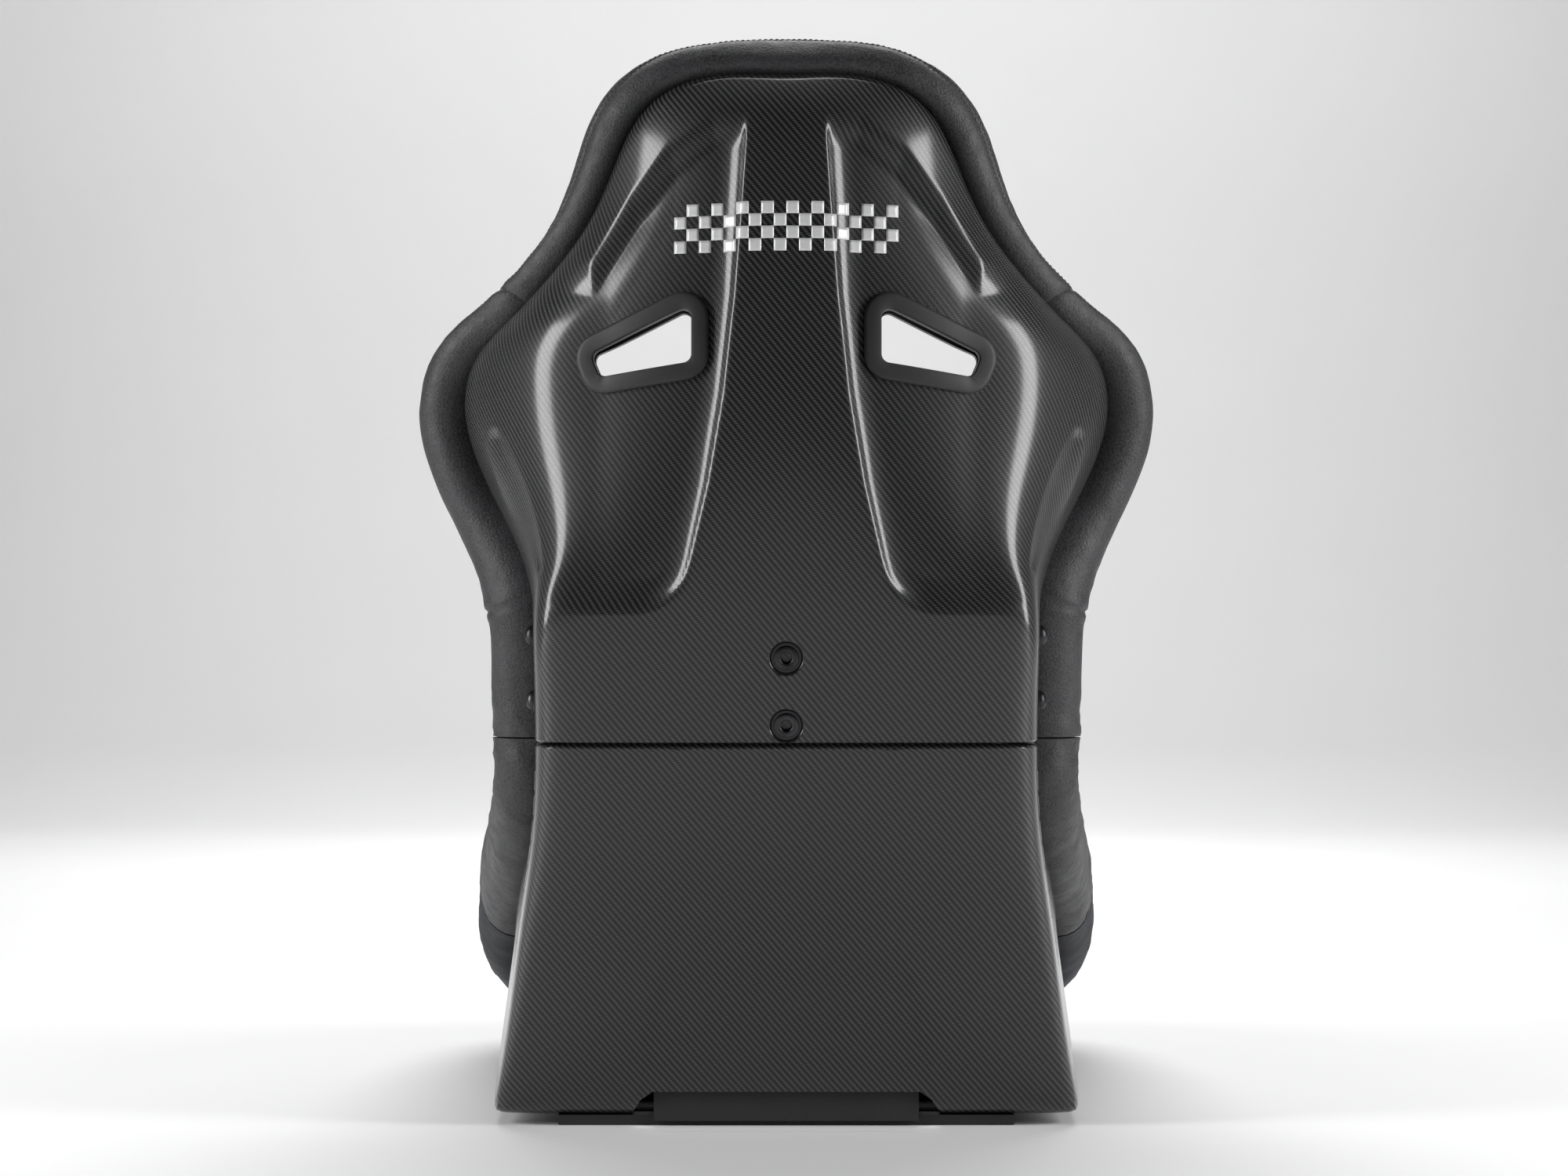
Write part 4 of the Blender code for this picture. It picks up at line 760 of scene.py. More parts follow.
def turned_cutter(name, profile, matrix):
    points, faces = lathe(profile, 48, matrix)
    mesh = bpy.data.meshes.new(name)
    mesh.from_pydata([tuple(p) for p in points], [], faces)
    outward(mesh)
    return place(name, mesh)


def side_frame(tree, side):
    found = tree.ray_cast(Vector((1.0, 0.190, 0.3800)), Vector((-1.0, 0.0, 0.0)))
    slide = Vector(SLIDE)
    point = found[0]
    normal = found[1] - slide * found[1].dot(slide)
    point.x *= side
    normal.x *= side
    return frame_matrix(point, normal, SLIDE)


BACK_SKIN = make_back_shell()
BACK_TREE = tree_of(BACK_SKIN)
SLOTS = [prism("slot", rounded_loop(corners, SLOT_RADIUS, SLOT_CLEAR, 0, 8), 'Y', 0.05, 0.45)
         for corners in (SLOT_CORNERS, SLOT_CORNERS_RIGHT)]
bush_cuts = []
for name, level in LEVELS:
    outline = [(0.0, 0.02), (0.0150, 0.02), (0.0150, 0.0004), (0.0138, -0.0003), (0.0122, -0.0021),
               (0.0064, -0.0021), (0.0064, -0.02), (0.0, -0.02)]
    bush_cuts.append(turned_cutter("bush_cut_" + name, outline, bush_frame(BACK_TREE, level)))
back_shell = dress("back_shell_skin", boolean(BACK_SKIN, SLOTS + bush_cuts), CARBON, "back", 38)
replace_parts(back_shell, "back_shell")
drop(*bush_cuts)

BASE_SKIN = make_base_shell()
cut_out = prism("cut_out", [(-x, z) for x, z in CUT_OUT] + list(CUT_OUT[::-1]), 'Y', 0.187, 0.30)
CROTCH = [(-0.045, -0.012), (0.045, -0.012), (0.045, -0.048), (-0.045, -0.048)]
crotch_cut = prism("crotch_cut", rounded_loop(CROTCH, SLOT_RADIUS, SLOT_CLEAR, 0, 8), 'Z', -0.02, 0.15)
base_shell = dress("base_shell_skin", boolean(BASE_SKIN, [cut_out, crotch_cut]), CARBON, "base", 38)
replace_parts(base_shell, "base_shell")
drop(cut_out)


# ---- rolls ----------------------------------------------------------------------------------------------
def edge_frame(v):
    step = 0.002
    along = STATION_AT(v + step)[6:9] - STATION_AT(v - step)[6:9]
    along /= np.linalg.norm(along)
    share = 1.0 - roll_size(v)[0] / row_length(v)
    hem, edge = base_row(v, [share, 1.0])
    out = edge - hem
    out /= np.linalg.norm(out)
    normal = np.cross(along, out)
    return edge, out, normal / np.linalg.norm(normal)


# place of the rim's stitched seam round the section, by height
SEAM = ((0.32, 0.80), (0.40, 0.78), (0.44, 0.82), (0.475, 0.96), (0.50, 1.04), (0.595, 1.04),
        (0.61, 0.95), (0.627, 0.76), (0.645, 0.64), (0.668, 0.57), (0.704, 0.55), (0.80, 0.575),
        (0.85, 0.64), (0.872, 0.72), (0.90, 0.725))


def roll_outline(v, seam, columns):
    """Section of a roll: its points (outward, normal), their outward directions and arc lengths.

    The first columns run from the hem to the seam and the rest from the seam to the inner hem.
    """
    lap, stand, behind, front = roll_size(v)
    half, middle = 0.5 * (stand + lap), 0.5 * (stand - lap)
    t = np.linspace(0.0, 2.0, 321)
    a = math.pi * (1 - np.minimum(t, 1.0))
    b = math.pi * (np.maximum(t, 1.0) - 1.0)
    rear = np.stack([middle + half * np.cos(a), behind * np.sin(a) ** 0.8], axis=1)
    face = np.stack([middle + 0.002 + (half - 0.002) * np.cos(b),
                     -SHELL_T - front * np.sin(b) ** 0.8], axis=1)
    line = np.where((t <= 1.0)[:, None], rear, face)
    line[0, 1] = -0.0045
    line[0, 0] += 0.0012
    run = np.concatenate([[0.0], np.cumsum(np.linalg.norm(np.diff(line, axis=0), axis=1))])
    at_seam = float(np.interp(seam, t, run))
    first = at_seam * (1 - (1 - np.linspace(0, 1, columns[0])) ** 1.5)
    second = at_seam + (run[-1] - at_seam) * np.linspace(0, 1, columns[1]) ** 1.35
    at = np.concatenate([first, second[1:]])
    points = np.stack([np.interp(at, run, line[:, k]) for k in range(2)], axis=1)
    ahead = np.stack([np.interp(at + 0.0015, run, line[:, k]) for k in range(2)], axis=1)
    back = np.stack([np.interp(at - 0.0015, run, line[:, k]) for k in range(2)], axis=1)
    tangent = ahead - back
    tangent /= np.maximum(np.linalg.norm(tangent, axis=1), 1e-9)[:, None]
    return points, np.stack([-tangent[:, 1], tangent[:, 0]], axis=1), at - at_seam


def wrinkle(point, scale, stretch=(1, 1, 1), seed=0.0):
    p = Vector((point[0] * stretch[0], point[1] * stretch[1], point[2] * stretch[2])) * scale
    return noise.fractal(p + Vector((seed, 0, 0)), 0.8, 2.0, 3)


class Roll:
    """Roll swept along the edge on one side, as a ring of points at each level of v."""

    columns = (22, 30)       # behind the seam and in front of it

    def __init__(self, levels, side, seam_at, crease, crosses=(), end_z=None):
        self.rings, self.out, self.gap = [], [], []
        for k, v in enumerate(levels):
            edge, out, normal = edge_frame(v)
            points, away, gap = roll_outline(v, seam_at(v), self.columns)
            groove = -0.0024 * np.exp(-(gap / 0.0016) ** 2) - 0.0010 * np.exp(-(gap / 0.0055) ** 2)
            puff = 0.0009 * np.exp(-((np.abs(gap) - 0.012) / 0.007) ** 2)
            cross = 0.0
            for cross_v in crosses:
                d = (v - cross_v) * SPAN
                cross -= 0.0017 * math.exp(-(d / 0.0022) ** 2)
                cross += 0.0006 * math.exp(-((abs(d) - 0.010) / 0.006) ** 2)
            ring = edge + points[:, :1] * out + points[:, 1:] * normal
            if end_z and k == (0 if end_z[0] == 'low' else len(levels) - 1):
                ring = plane_shift(ring, end_z[1])
            direction = away[:, :1] * out + away[:, 1:] * normal
            ring = ring * np.array([side, 1, 1])
            direction = direction * np.array([side, 1, 1])
            pucker = np.array([wrinkle(p, 95.0) for p in ring]) * 0.0007 * np.exp(-np.abs(gap) / 0.016)
            slack = np.array([wrinkle(p, 34.0, (1, 1, 2.2), 7.0) for p in ring]) * crease(v)
            soft = np.array([wrinkle(p, 9.0, seed=3.0) for p in ring]) * 0.0010
            rise = np.minimum(1.0, np.arange(len(ring)) / 3.0)
            hem = rise * rise[::-1]
            ring = ring + direction * ((groove + puff + pucker + slack + soft + cross) * hem)[:, None]
            self.rings.append(ring)
            self.out.append(direction)
            self.gap.append(gap)
        self.rings = np.array(self.rings)
        self.out = np.array(self.out)
        self.gap = np.array(self.gap)


SPAN = 1.62                  # length of the edge per unit of v, near enough for seam widths


def join_rolls(first, second):
    """One roll from two that meet at the centre plane."""
    first.rings = np.concatenate([first.rings[:-1], second.rings[::-1]])
    first.out = np.concatenate([first.out[:-1], second.out[::-1]])
    first.gap = np.concatenate([first.gap[:-1], second.gap[::-1]])
    return first


def roll_piece(name, roll, row_range, column_range, look, body):
    """Piece of a roll's skin between rows and columns."""
    rows = roll.rings[row_range[0]:row_range[1] + 1, column_range[0]:column_range[1] + 1]
    item = new_object(name, rows.reshape(-1, 3), grid(*rows.shape[:2]), look, body)
    return item


def end_cap(name, ring, steps, look, body):
    """Cap on the last ring of a roll, in steps towards its middle: (share of the ring's size, rise)."""
    centre = ring.mean(axis=0)
    columns = len(ring)
    points = [centre + (p - centre) * s + np.array([0, 0, h]) for s, h in steps for p in ring]
    faces = grid(3, columns)
    for r in (0, columns):
        faces.append((r + columns - 1, r + 2 * columns - 1, r + columns, r))
    faces.append(tuple(range(2 * columns, 3 * columns)))
    new_object(name, points, faces, look, body)


STITCH_PITCH = 0.0046
STITCH_BESIDE = 0.0036       # from the seam
STITCH_LENGTH = 0.0031
STITCH_R = 0.00042


def stitches(name, lines, body):
    """Row of small stitches along lines of (points, outward directions)."""
    points, faces = [], []
    for line, out in lines:
        line, out = np.asarray(line), np.asarray(out)
        run = np.concatenate([[0.0], np.cumsum(np.linalg.norm(np.diff(line, axis=0), axis=1))])
        for start in np.arange(STITCH_PITCH, run[-1] - STITCH_PITCH, STITCH_PITCH):
            ends = [np.array([np.interp(start + d, run, line[:, k]) for k in range(3)])
                    for d in (0.0, STITCH_LENGTH)]
            up = np.array([np.interp(start, run, out[:, k]) for k in range(3)])
            up /= np.linalg.norm(up)
            along = ends[1] - ends[0]
            span = np.linalg.norm(along)
            if span < 1e-5:
                continue
            along /= span
            side = np.cross(along, up)
            base = len(points)
            middle = 0.5 * (ends[0] + ends[1]) + up * STITCH_R * 0.6
            points.append(ends[0] - up * STITCH_R * 0.6)
            for shift in (-0.28, 0.28):
                for w, h in ((1, 0), (0, 1), (-1, 0), (0, -1)):
                    points.append(middle + along * span * shift + side * STITCH_R * w + up * STITCH_R * h)
            points.append(ends[1] - up * STITCH_R * 0.6)
            for k in range(4):
                n = (k + 1) % 4
                faces.append((base, base + 1 + n, base + 1 + k))
                faces.append((base + 1 + k, base + 1 + n, base + 5 + n, base + 5 + k))
                faces.append((base + 9, base + 5 + k, base + 5 + n))
    new_object(name, points, faces, THREAD, body)


def seam_line(roll, row_range, offset):
    """Line beside a roll's seam at a signed distance round the section."""
    points, out = [], []
    for r in range(row_range[0], row_range[1] + 1):
        gap = roll.gap[r]
        points.append([np.interp(offset, gap, roll.rings[r][:, k]) for k in range(3)])
        out.append([np.interp(offset, gap, roll.out[r][:, k]) for k in range(3)])
    return np.array(points), np.array(out)


def seam_by_height(v):
    return float(np.interp(STATION_AT(v)[8], [s[0] for s in SEAM], [s[1] for s in SEAM]))


CROSS_HIGH = 21.55           # station of the cross seam where the head panel ends
CROSS_LOW = 15.3             # and where the suede facing ends
V_HIGH, V_LOW = v_of(CROSS_HIGH), v_of(CROSS_LOW)
rim_levels = np.concatenate([np.linspace(v_of(PARTING), V_LOW, 26), np.linspace(V_LOW, V_HIGH, 74)[1:],
                             np.linspace(V_HIGH, 1.0, 74)[1:]])
ROW_LOW, ROW_HIGH = 25, 98   # rows of the two cross seams


def rim_crease(v):
    z = STATION_AT(v)[8]
    return 0.0022 * max(0.0, 1 - (z - 0.32) / 0.05) + 0.0008 * math.exp(-((z - 0.46) / 0.03) ** 2)


halves = [Roll(rim_levels, side, seam_by_height, crosses=(V_LOW, V_HIGH), crease=rim_crease,
               end_z=('low', PART_Z + 0.0014)) for side in (1, -1)]
rim = join_rolls(*halves)
LAST = len(rim.rings) - 1
SEAM_COLUMN = rim.columns[0] - 1
BEHIND = (0, SEAM_COLUMN)
FACING = (SEAM_COLUMN, rim.rings.shape[1] - 1)
head_rows = (ROW_HIGH, LAST - ROW_HIGH)
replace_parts(roll_piece("rim_rear_head", rim, head_rows, BEHIND, LEATHER, "back"), "rim_cover")
roll_piece("rim_front_head", rim, head_rows, FACING, LEATHER, "back")
for label, flip in (("left", False), ("right", True)):
    for part, low, high, columns, look in (("rear", 0, ROW_HIGH, BEHIND, LEATHER),
                                           ("front", ROW_LOW, ROW_HIGH, FACING, SUEDE),
                                           ("low", 0, ROW_LOW, FACING, LEATHER)):
        span = (LAST - high, LAST - low) if flip else (low, high)
        roll_piece(f"rim_{part}_{label}", rim, span, columns, look, "back")
    end_cap("rim_end_" + label, rim.rings[LAST if flip else 0], ((1.0, 0.0), (0.86, 0.0002), (0.4, 0.0)),
            LEATHER, "back")
stitches("rim_stitches", [seam_line(rim, (0, LAST), STITCH_BESIDE * sign) for sign in (-1, 1)], "back")


def base_seam(v):
    return float(np.interp(v, [0.0, v_of(3), v_of(6), v_of(10), v_of(13)], [1.0, 0.80, 0.74, 0.76, 0.78]))


def base_crease(v):
    top = max(0.0, 1 - (v_of(PARTING) - v) * SPAN / 0.05)
    return 0.0010 + 0.0022 * top


hip_levels = np.concatenate([np.linspace(v_of(SPLIT) + 0.0012, v_of(HIP_END), 70),
                             np.linspace(v_of(HIP_END), v_of(PARTING), 10)[1:]])
BASE_CAP = ((1.0, 0.0), (0.85, 0.0), (0.4, 0.0))
for label, side in (("left", 1), ("right", -1)):
    hip = Roll(hip_levels, side, base_seam, crease=base_crease, end_z=('high', PART_Z))
    rows = (0, len(hip.rings) - 1)
    rear = roll_piece("hip_roll_rear_" + label, hip, rows, BEHIND, LEATHER, "base")
    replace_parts(rear, "hip_roll_" + label)
    roll_piece("hip_roll_face_" + label, hip, rows, FACING, SUEDE, "base")
    for number, end in enumerate(rows):
        end_cap(f"hip_roll_end_{label}_{number}", hip.rings[end], BASE_CAP, LEATHER, "base")
    stitches("hip_stitches_" + label, [seam_line(hip, rows, -STITCH_BESIDE)], "base")

front_levels = np.linspace(0.0, v_of(SPLIT) - 0.0012, 90)[::-1]
halves = [Roll(front_levels, side, base_seam, crosses=(v_of(2.6),), crease=lambda v: 0.0012)
          for side in (1, -1)]
front = join_rolls(*halves)
rows = (0, len(front.rings) - 1)
roll_piece("front_roll_under", front, rows, BEHIND, SUEDE, "base")
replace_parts(roll_piece("front_roll_top", front, rows, FACING, SUEDE, "base"), "front_roll")
for label, end in zip(("left", "right"), rows):
    end_cap("front_roll_end_" + label, front.rings[end], BASE_CAP, SUEDE, "base")
stitches("front_stitches", [seam_line(front, rows, -STITCH_BESIDE)], "base")


# ---- pads -------------------------------------------------------------------------------------------------
PAD_RIM_GAP = 0.008
PAD_EDGE_R = 0.030
PAD_EDGE_DROP = 0.60
PAD_BORDER = ((0.342, 0.120), (0.500, 0.135), (0.600, 0.198), (0.700, 0.200))
UP = (0.0, 0.0, 1.0)


def rim_border(v, extra=0.0):
    return 1.0 - (roll_size(v)[0] + PAD_RIM_GAP + extra) / row_length(v)


def x_share(v, x):
    u = np.linspace(0.0, 1.0, 60)
    return float(np.interp(x, np.maximum.accumulate(base_row(v, u)[:, 0]), u))


def centre_share(v):
    z = STATION_AT(v)[2]
    half = float(np.interp(z, [p[0] for p in PAD_BORDER], [p[1] for p in PAD_BORDER]))
    return min(x_share(v, half), rim_border(v, 0.006))


def corner_share(v):
    row = STATION_AT(v)
    first = np.linalg.norm(row[3:6] - row[0:3])
    return float(first / (first + np.linalg.norm(row[6:9] - row[3:6])))


def pad_mesh(v_range, u_range, thickness, clearance, push=None, size=(30, 22)):
    """Closed pad over a patch of the shell's inner face."""
    rows, columns = size
    lower = np.zeros((rows, columns, 3))
    grow = np.zeros((rows, columns, 3))
    for r, v in enumerate(np.linspace(v_range[0], v_range[1], rows)):
        low, high = u_range(v)
        lower[r], normal = surface(v, np.linspace(low, high, columns), SHELL_T + clearance)
        grow[r] = -normal if push is None else np.array(push)
    share = np.ones((rows, columns))
    borders = [lower[:, -1:], lower[:, :1], lower[:1]]
    if v_range[1] < 0.99:
        borders.append(lower[-1:])
    for border in borders:
        s = np.clip(np.linalg.norm(lower - border, axis=2) / PAD_EDGE_R, 0.0, 1.0)
        share = share * (1.0 - PAD_EDGE_DROP * (1.0 - np.sqrt(1.0 - (1.0 - s) ** 2)))
    upper = lower + grow * (thickness * share)[:, :, None]
    offset = rows * columns
    faces = grid(rows, columns) + grid(rows, columns, offset, True)
    sides = [[r * columns + columns - 1 for r in range(rows)], [r * columns for r in range(rows)],
             list(range(columns)), [(rows - 1) * columns + c for c in range(columns)]]
    for side in sides:
        faces += [(a, b, offset + b, offset + a) for a, b in zip(side, side[1:])]
    mesh = bpy.data.meshes.new("pad")
    both = np.concatenate([lower.reshape(-1, 3), upper.reshape(-1, 3)])
    mesh.from_pydata([tuple(p) for p in both], [], faces)
    outward(mesh)
    return mesh


def puff(mesh, cap=0.007):
    """Voxel remesh, then a short cloth simulation under pressure, with the swelling capped."""
    item = place("working", mesh)
    remesh = item.modifiers.new("remesh", 'REMESH')
    remesh.mode = 'VOXEL'
    remesh.voxel_size = 0.005
    fine = settle(item)
    bpy.data.objects.remove(item)
    relax = bmesh.new()
    relax.from_mesh(fine)
    for _ in range(3):
        bmesh.ops.smooth_vert(relax, verts=relax.verts, factor=0.5, use_axis_x=True, use_axis_y=True,
                              use_axis_z=True)
    relax.to_mesh(fine)
    relax.free()
    before = np.zeros(len(fine.vertices) * 3)
    fine.vertices.foreach_get("co", before)
    before = before.reshape(-1, 3)
    item = place("working", fine)
    cloth = item.modifiers.new("cloth", 'CLOTH')
    cloth.settings.quality = 4
    cloth.settings.use_pressure = True
    cloth.settings.uniform_pressure_force = 4.0
    cloth.settings.effector_weights.gravity = 0.0
    cloth.settings.mass = 0.3
    cloth.settings.tension_stiffness = 12
    cloth.settings.compression_stiffness = 12
    cloth.settings.bending_stiffness = 0.6
    scene = bpy.context.scene
    for step in range(1, 15):
        scene.frame_set(step)
    made = settle(item)
    bpy.data.objects.remove(item)
    scene.frame_set(1)
    after = np.zeros(len(made.vertices) * 3)
    made.vertices.foreach_get("co", after)
    move = after.reshape(-1, 3) - before
    length = np.linalg.norm(move, axis=1)
    move *= (cap * np.tanh(length / cap) / np.maximum(length, 1e-9))[:, None]
    made.vertices.foreach_set("co", (before + move).ravel())
    made.update()
    return made


def finish_pad(name, node, mesh, look, body, channels=None, cutters=()):
    """Subdivide once, press in the sewn channels, and add small slack."""
    item = place("working", mesh)
    item.modifiers.new("fine", 'SUBSURF').levels = 1
    made = settle(item)
    bpy.data.objects.remove(item)
    co = np.zeros(len(made.vertices) * 3)
    made.vertices.foreach_get("co", co)
    co = co.reshape(-1, 3)
    normals = np.array([v.normal for v in made.vertices])
    depth = np.array([wrinkle(p, 30.0, seed=5.0) for p in co]) * 0.0007
    if channels:
        depth = depth - channels(co, normals)
    made.vertices.foreach_set("co", (co + normals * depth[:, None]).ravel())
    made.update()
    if cutters:
        made = boolean(made, cutters)
    made = dress(name, made, look, body, 60)
    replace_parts(made, node)


def channel(distance, depth=0.0050, width=0.0042):
    puffed = -0.0012 * np.exp(-((np.abs(distance) - 0.016) / 0.010) ** 2)
    return depth * np.exp(-(distance / width) ** 2) + puffed


def facing(normals):
    return np.clip(-normals[:, 1] * 1.6, 0, 1)


def lumbar_channels(co, normals):
    total = sum(channel(co[:, 2] - z) for z in (0.388, 0.432, 0.476))
    return total * facing(normals)


def upper_channels(co, normals):
    arch = co[:, 2] + 0.35 * co[:, 0] ** 2
    total = sum(channel(arch - z) for z in (0.572, 0.606))
    frame_line = channel(np.abs(co[:, 0]) - 0.050) * smooth(co[:, 2], 0.612, 0.622)
    return (total + frame_line) * facing(normals)


def head_channels(co, normals):
    line = channel(np.hypot(co[:, 0] / 1.5, (co[:, 2] - 0.775) / 0.62) - 0.072, 0.0035)
    return line * facing(normals)


def cushion_channels(co, normals):
    total = sum(channel(co[:, 0] - x) for x in (-0.126, -0.075, 0.075, 0.126))
    return total * np.clip(normals[:, 2] * 1.6, 0, 1)


def tail_channels(co, normals):
    return sum(channel(co[:, 2] - z) for z in (0.145, 0.215)) * facing(normals)


def centre_range(v):
    return -centre_share(v), centre_share(v)


heights = [v_at_height(z) for z in (0.345, 0.520, 0.528, 0.698, 0.708)]
lumbar = pad_mesh(heights[0:2], centre_range, 0.030, 0.010)
finish_pad("lumbar_pad_soft", "lumbar_pad", puff(lumbar), SUEDE, "back", lumbar_channels)
upper = pad_mesh(heights[2:4], centre_range, 0.032, 0.010, size=(30, 30))
UPPER_SOFT = puff(upper)
UPPER_TREE = tree_of(UPPER_SOFT)
finish_pad("upper_back_pad_soft", "upper_back_pad", UPPER_SOFT, SUEDE, "back", upper_channels, SLOTS)
head = pad_mesh((heights[4], 0.9999), lambda v: (-rim_border(v), rim_border(v)), 0.030, 0.010, size=(30, 30))
finish_pad("head_pad_soft", "head_pad", puff(head), SUEDE, "back", head_channels)
for label, sign in (("left", 1.0), ("right", -1.0)):
    def bolster_range(v, sign=sign):
        low = centre_share(v) + 0.012 / row_length(v)
        return (low, rim_border(v)) if sign > 0 else (-rim_border(v), -low)

    def hip_range(v, sign=sign):
        low = corner_share(v) + 0.052 / row_length(v)
        return (low, rim_border(v)) if sign > 0 else (-rim_border(v), -low)
    side_pad = pad_mesh((v_at_height(0.352), v_at_height(0.648)), bolster_range, 0.038, 0.0105, size=(34, 16))
    finish_pad("side_bolster_soft_" + label, "side_bolster_" + label, puff(side_pad), LEATHER, "back")
    hip_pad = pad_mesh((v_of(3.5), v_of(11.9)), hip_range, 0.020, 0.0045, size=(40, 16))
    finish_pad("hip_bolster_soft_" + label, "hip_bolster_" + label, puff(hip_pad, cap=0.004), LEATHER, "base")


def floor_range(v):
    high = min(x_share(v, 0.192), rim_border(v, roll_size(v)[3] + 0.018))
    return -high, high


seat = pad_mesh((v_of(4.58), v_of(7.5)), floor_range, 0.054, 0.0045, UP, (30, 34))
SEAT_SOFT = puff(seat, cap=0.006)
SEAT_TREE = tree_of(SEAT_SOFT)
finish_pad("seat_cushion_soft", "seat_cushion", SEAT_SOFT, SUEDE, "base", cushion_channels, [crotch_cut])
thigh = pad_mesh((v_of(0.35), v_of(4.42)), floor_range, 0.076, 0.0045, UP, (28, 34))
finish_pad("thigh_cushion_soft", "thigh_cushion", puff(thigh, cap=0.006), SUEDE, "base", cushion_channels)
tail = pad_mesh((v_of(10.25), v_of(12.75)), lambda v: (-x_share(v, 0.148), x_share(v, 0.148)), 0.028, 0.0045,
                size=(26, 26))
finish_pad("tail_pad_soft", "tail_pad", puff(tail, cap=0.005), SUEDE, "base", tail_channels)


# ---- slot trims -----------------------------------------------------------------------------------------
def ring_object(name, sections, body):
    """Plastic ring from closed sections in a loop."""
    count, columns = len(sections), len(sections[0])
    points = [p for s in sections for p in s]
    faces = []
    for i in range(count):
        j = (i + 1) % count
        for c in range(columns):
            d = (c + 1) % columns
            faces.append((i * columns + c, i * columns + d, j * columns + d, j * columns + c))
    return new_object(name, points, faces, PLASTIC, body, 35)


def trim_section(depth, thick, wide):
    """Half-open section of a bezel: (distance from the opening, height above its seat)."""
    return [(0.0, -depth), (0.0, thick - 0.0014), (0.0004, thick - 0.0005), (0.0013, thick),
            (wide - 0.0032, thick), (wide - 0.0016, thick - 0.0004), (wide - 0.0004, thick - 0.0014),
            (wide, thick - 0.0026), (wide, 0.0), (0.0020, 0.0), (0.0020, -depth)]


def slot_trim(name, node, corners, tree, side, depth, clear):
    profile = trim_section(depth, 0.0037, 0.0142)
    loops = [rounded_loop(corners, SLOT_RADIUS, t, 10, 9) for t, _ in profile]
    outer = rounded_loop(corners, SLOT_RADIUS, 0.0142, 10, 9)
    sleeve = rounded_loop(corners, SLOT_RADIUS, 0.0042, 10, 9)
    sections = []
    for k in range(len(outer)):
        y_in = hit_y(tree, sleeve[k][0], sleeve[k][1], side)
        y_out = hit_y(tree, outer[k][0], outer[k][1], side)
        section = []
        for (t, h), loop in zip(profile, loops):
            share = min(max((t - 0.0042) / 0.0100, 0.0), 1.0)
            y = y_in + (y_out - y_in) * share + side * (clear + h)
            section.append((loop[k][0], y, loop[k][1]))
        sections.append(section)
    item = ring_object(name, sections, "back")
    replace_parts(item, node)


for label, corners in (("left", SLOT_CORNERS), ("right", SLOT_CORNERS_RIGHT)):
    slot_trim("harness_bezel_fine_" + label, "harness_bezel_" + label, corners, BACK_TREE, 1.0, 0.014, 0.0006)
    slot_trim("harness_trim_fine_" + label, "harness_trim_" + label, corners, UPPER_TREE, -1.0, 0.012, 0.0008)


def flat_trim(name, node, level, out, depth):
    profile = trim_section(depth, 0.0025, 0.0100)
    loops = [rounded_loop(CROTCH, SLOT_RADIUS, t, 8, 9) for t, _ in profile]
    sections = [[(*loop[k], level + out * h) for (_, h), loop in zip(profile, loops)]
                for k in range(len(loops[0]))]
    item = ring_object(name, sections, "base")
    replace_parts(item, node)


cushion_high = max(SEAT_TREE.ray_cast(Vector((x, -0.030 + dy, 0.5)), Vector((0, 0, -1)))[0].z
                   for x in (0.002, 0.055) for dy in (-0.028, 0.0, 0.028))
flat_trim("crotch_trim_fine_top", "crotch_trim_top", cushion_high - 0.0005, 1.0, 0.022)
drop(*SLOTS, crotch_cut)


# ---- fasteners ------------------------------------------------------------------------------------------
def turned_piece(name, node, profile, matrix):
    item = new_object(name, *lathe(profile, 48, matrix), DARK_STEEL, "back", 35)
    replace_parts(item, node)


for rank, level in LEVELS:
    at = bush_frame(BACK_TREE, level)
    profile = [(0.0046, -0.016), (0.0046, -0.0006), (0.0050, 0.0001), (0.0056, 0.0004), (0.0088, 0.0004),
               (0.0096, 0.0000), (0.0100, -0.0008), (0.0100, -0.0018), (0.0060, -0.0018), (0.0060, -0.016)]
    turned_piece("bush_fine_" + rank, "bush_" + rank, profile + profile[:1], at)
for label, side in (("left", 1.0), ("right", -1.0)):
    middle = side_frame(BACK_TREE, side)
    for rank, level in LEVELS:
        at = middle @ Matrix.Translation((0.0, level, 0.0))
        tag = f"{label}_{rank}"
        washer = [(0.0045, 0.0003), (0.0045, 0.0026), (0.0092, 0.0026), (0.0098, 0.0022), (0.0100, 0.0016),
                  (0.0100, 0.0003)]
        turned_piece("washer_fine_" + tag, "side_washer_" + tag, washer + washer[:1], at)
        dome = [(0.0, 0.0052), (0.0022, 0.0052), (0.0028, 0.0080), (0.0036, 0.0083), (0.0052, 0.0077),
                (0.0066, 0.0067), (0.0077, 0.0053), (0.0084, 0.0037), (0.0085, 0.0028), (0.0040, 0.0028),
                (0.0040, -0.0200), (0.0, -0.0200)]
        turned_piece("bolt_fine_" + tag, "side_bolt_" + tag, dome, at)

for prefix, look in (("guide_plate", ZINC), ("side_nut", ZINC), ("bush_nut", ZINC), ("floor_insert", ZINC),
                     ("crotch_trim_bottom", PLASTIC[0]), ("under_pan", PAN)):
    for name, item in NODES.items():
        if name.startswith(prefix) and not item.hide_render:
            item.data.materials.clear()
            item.data.materials.append(look)


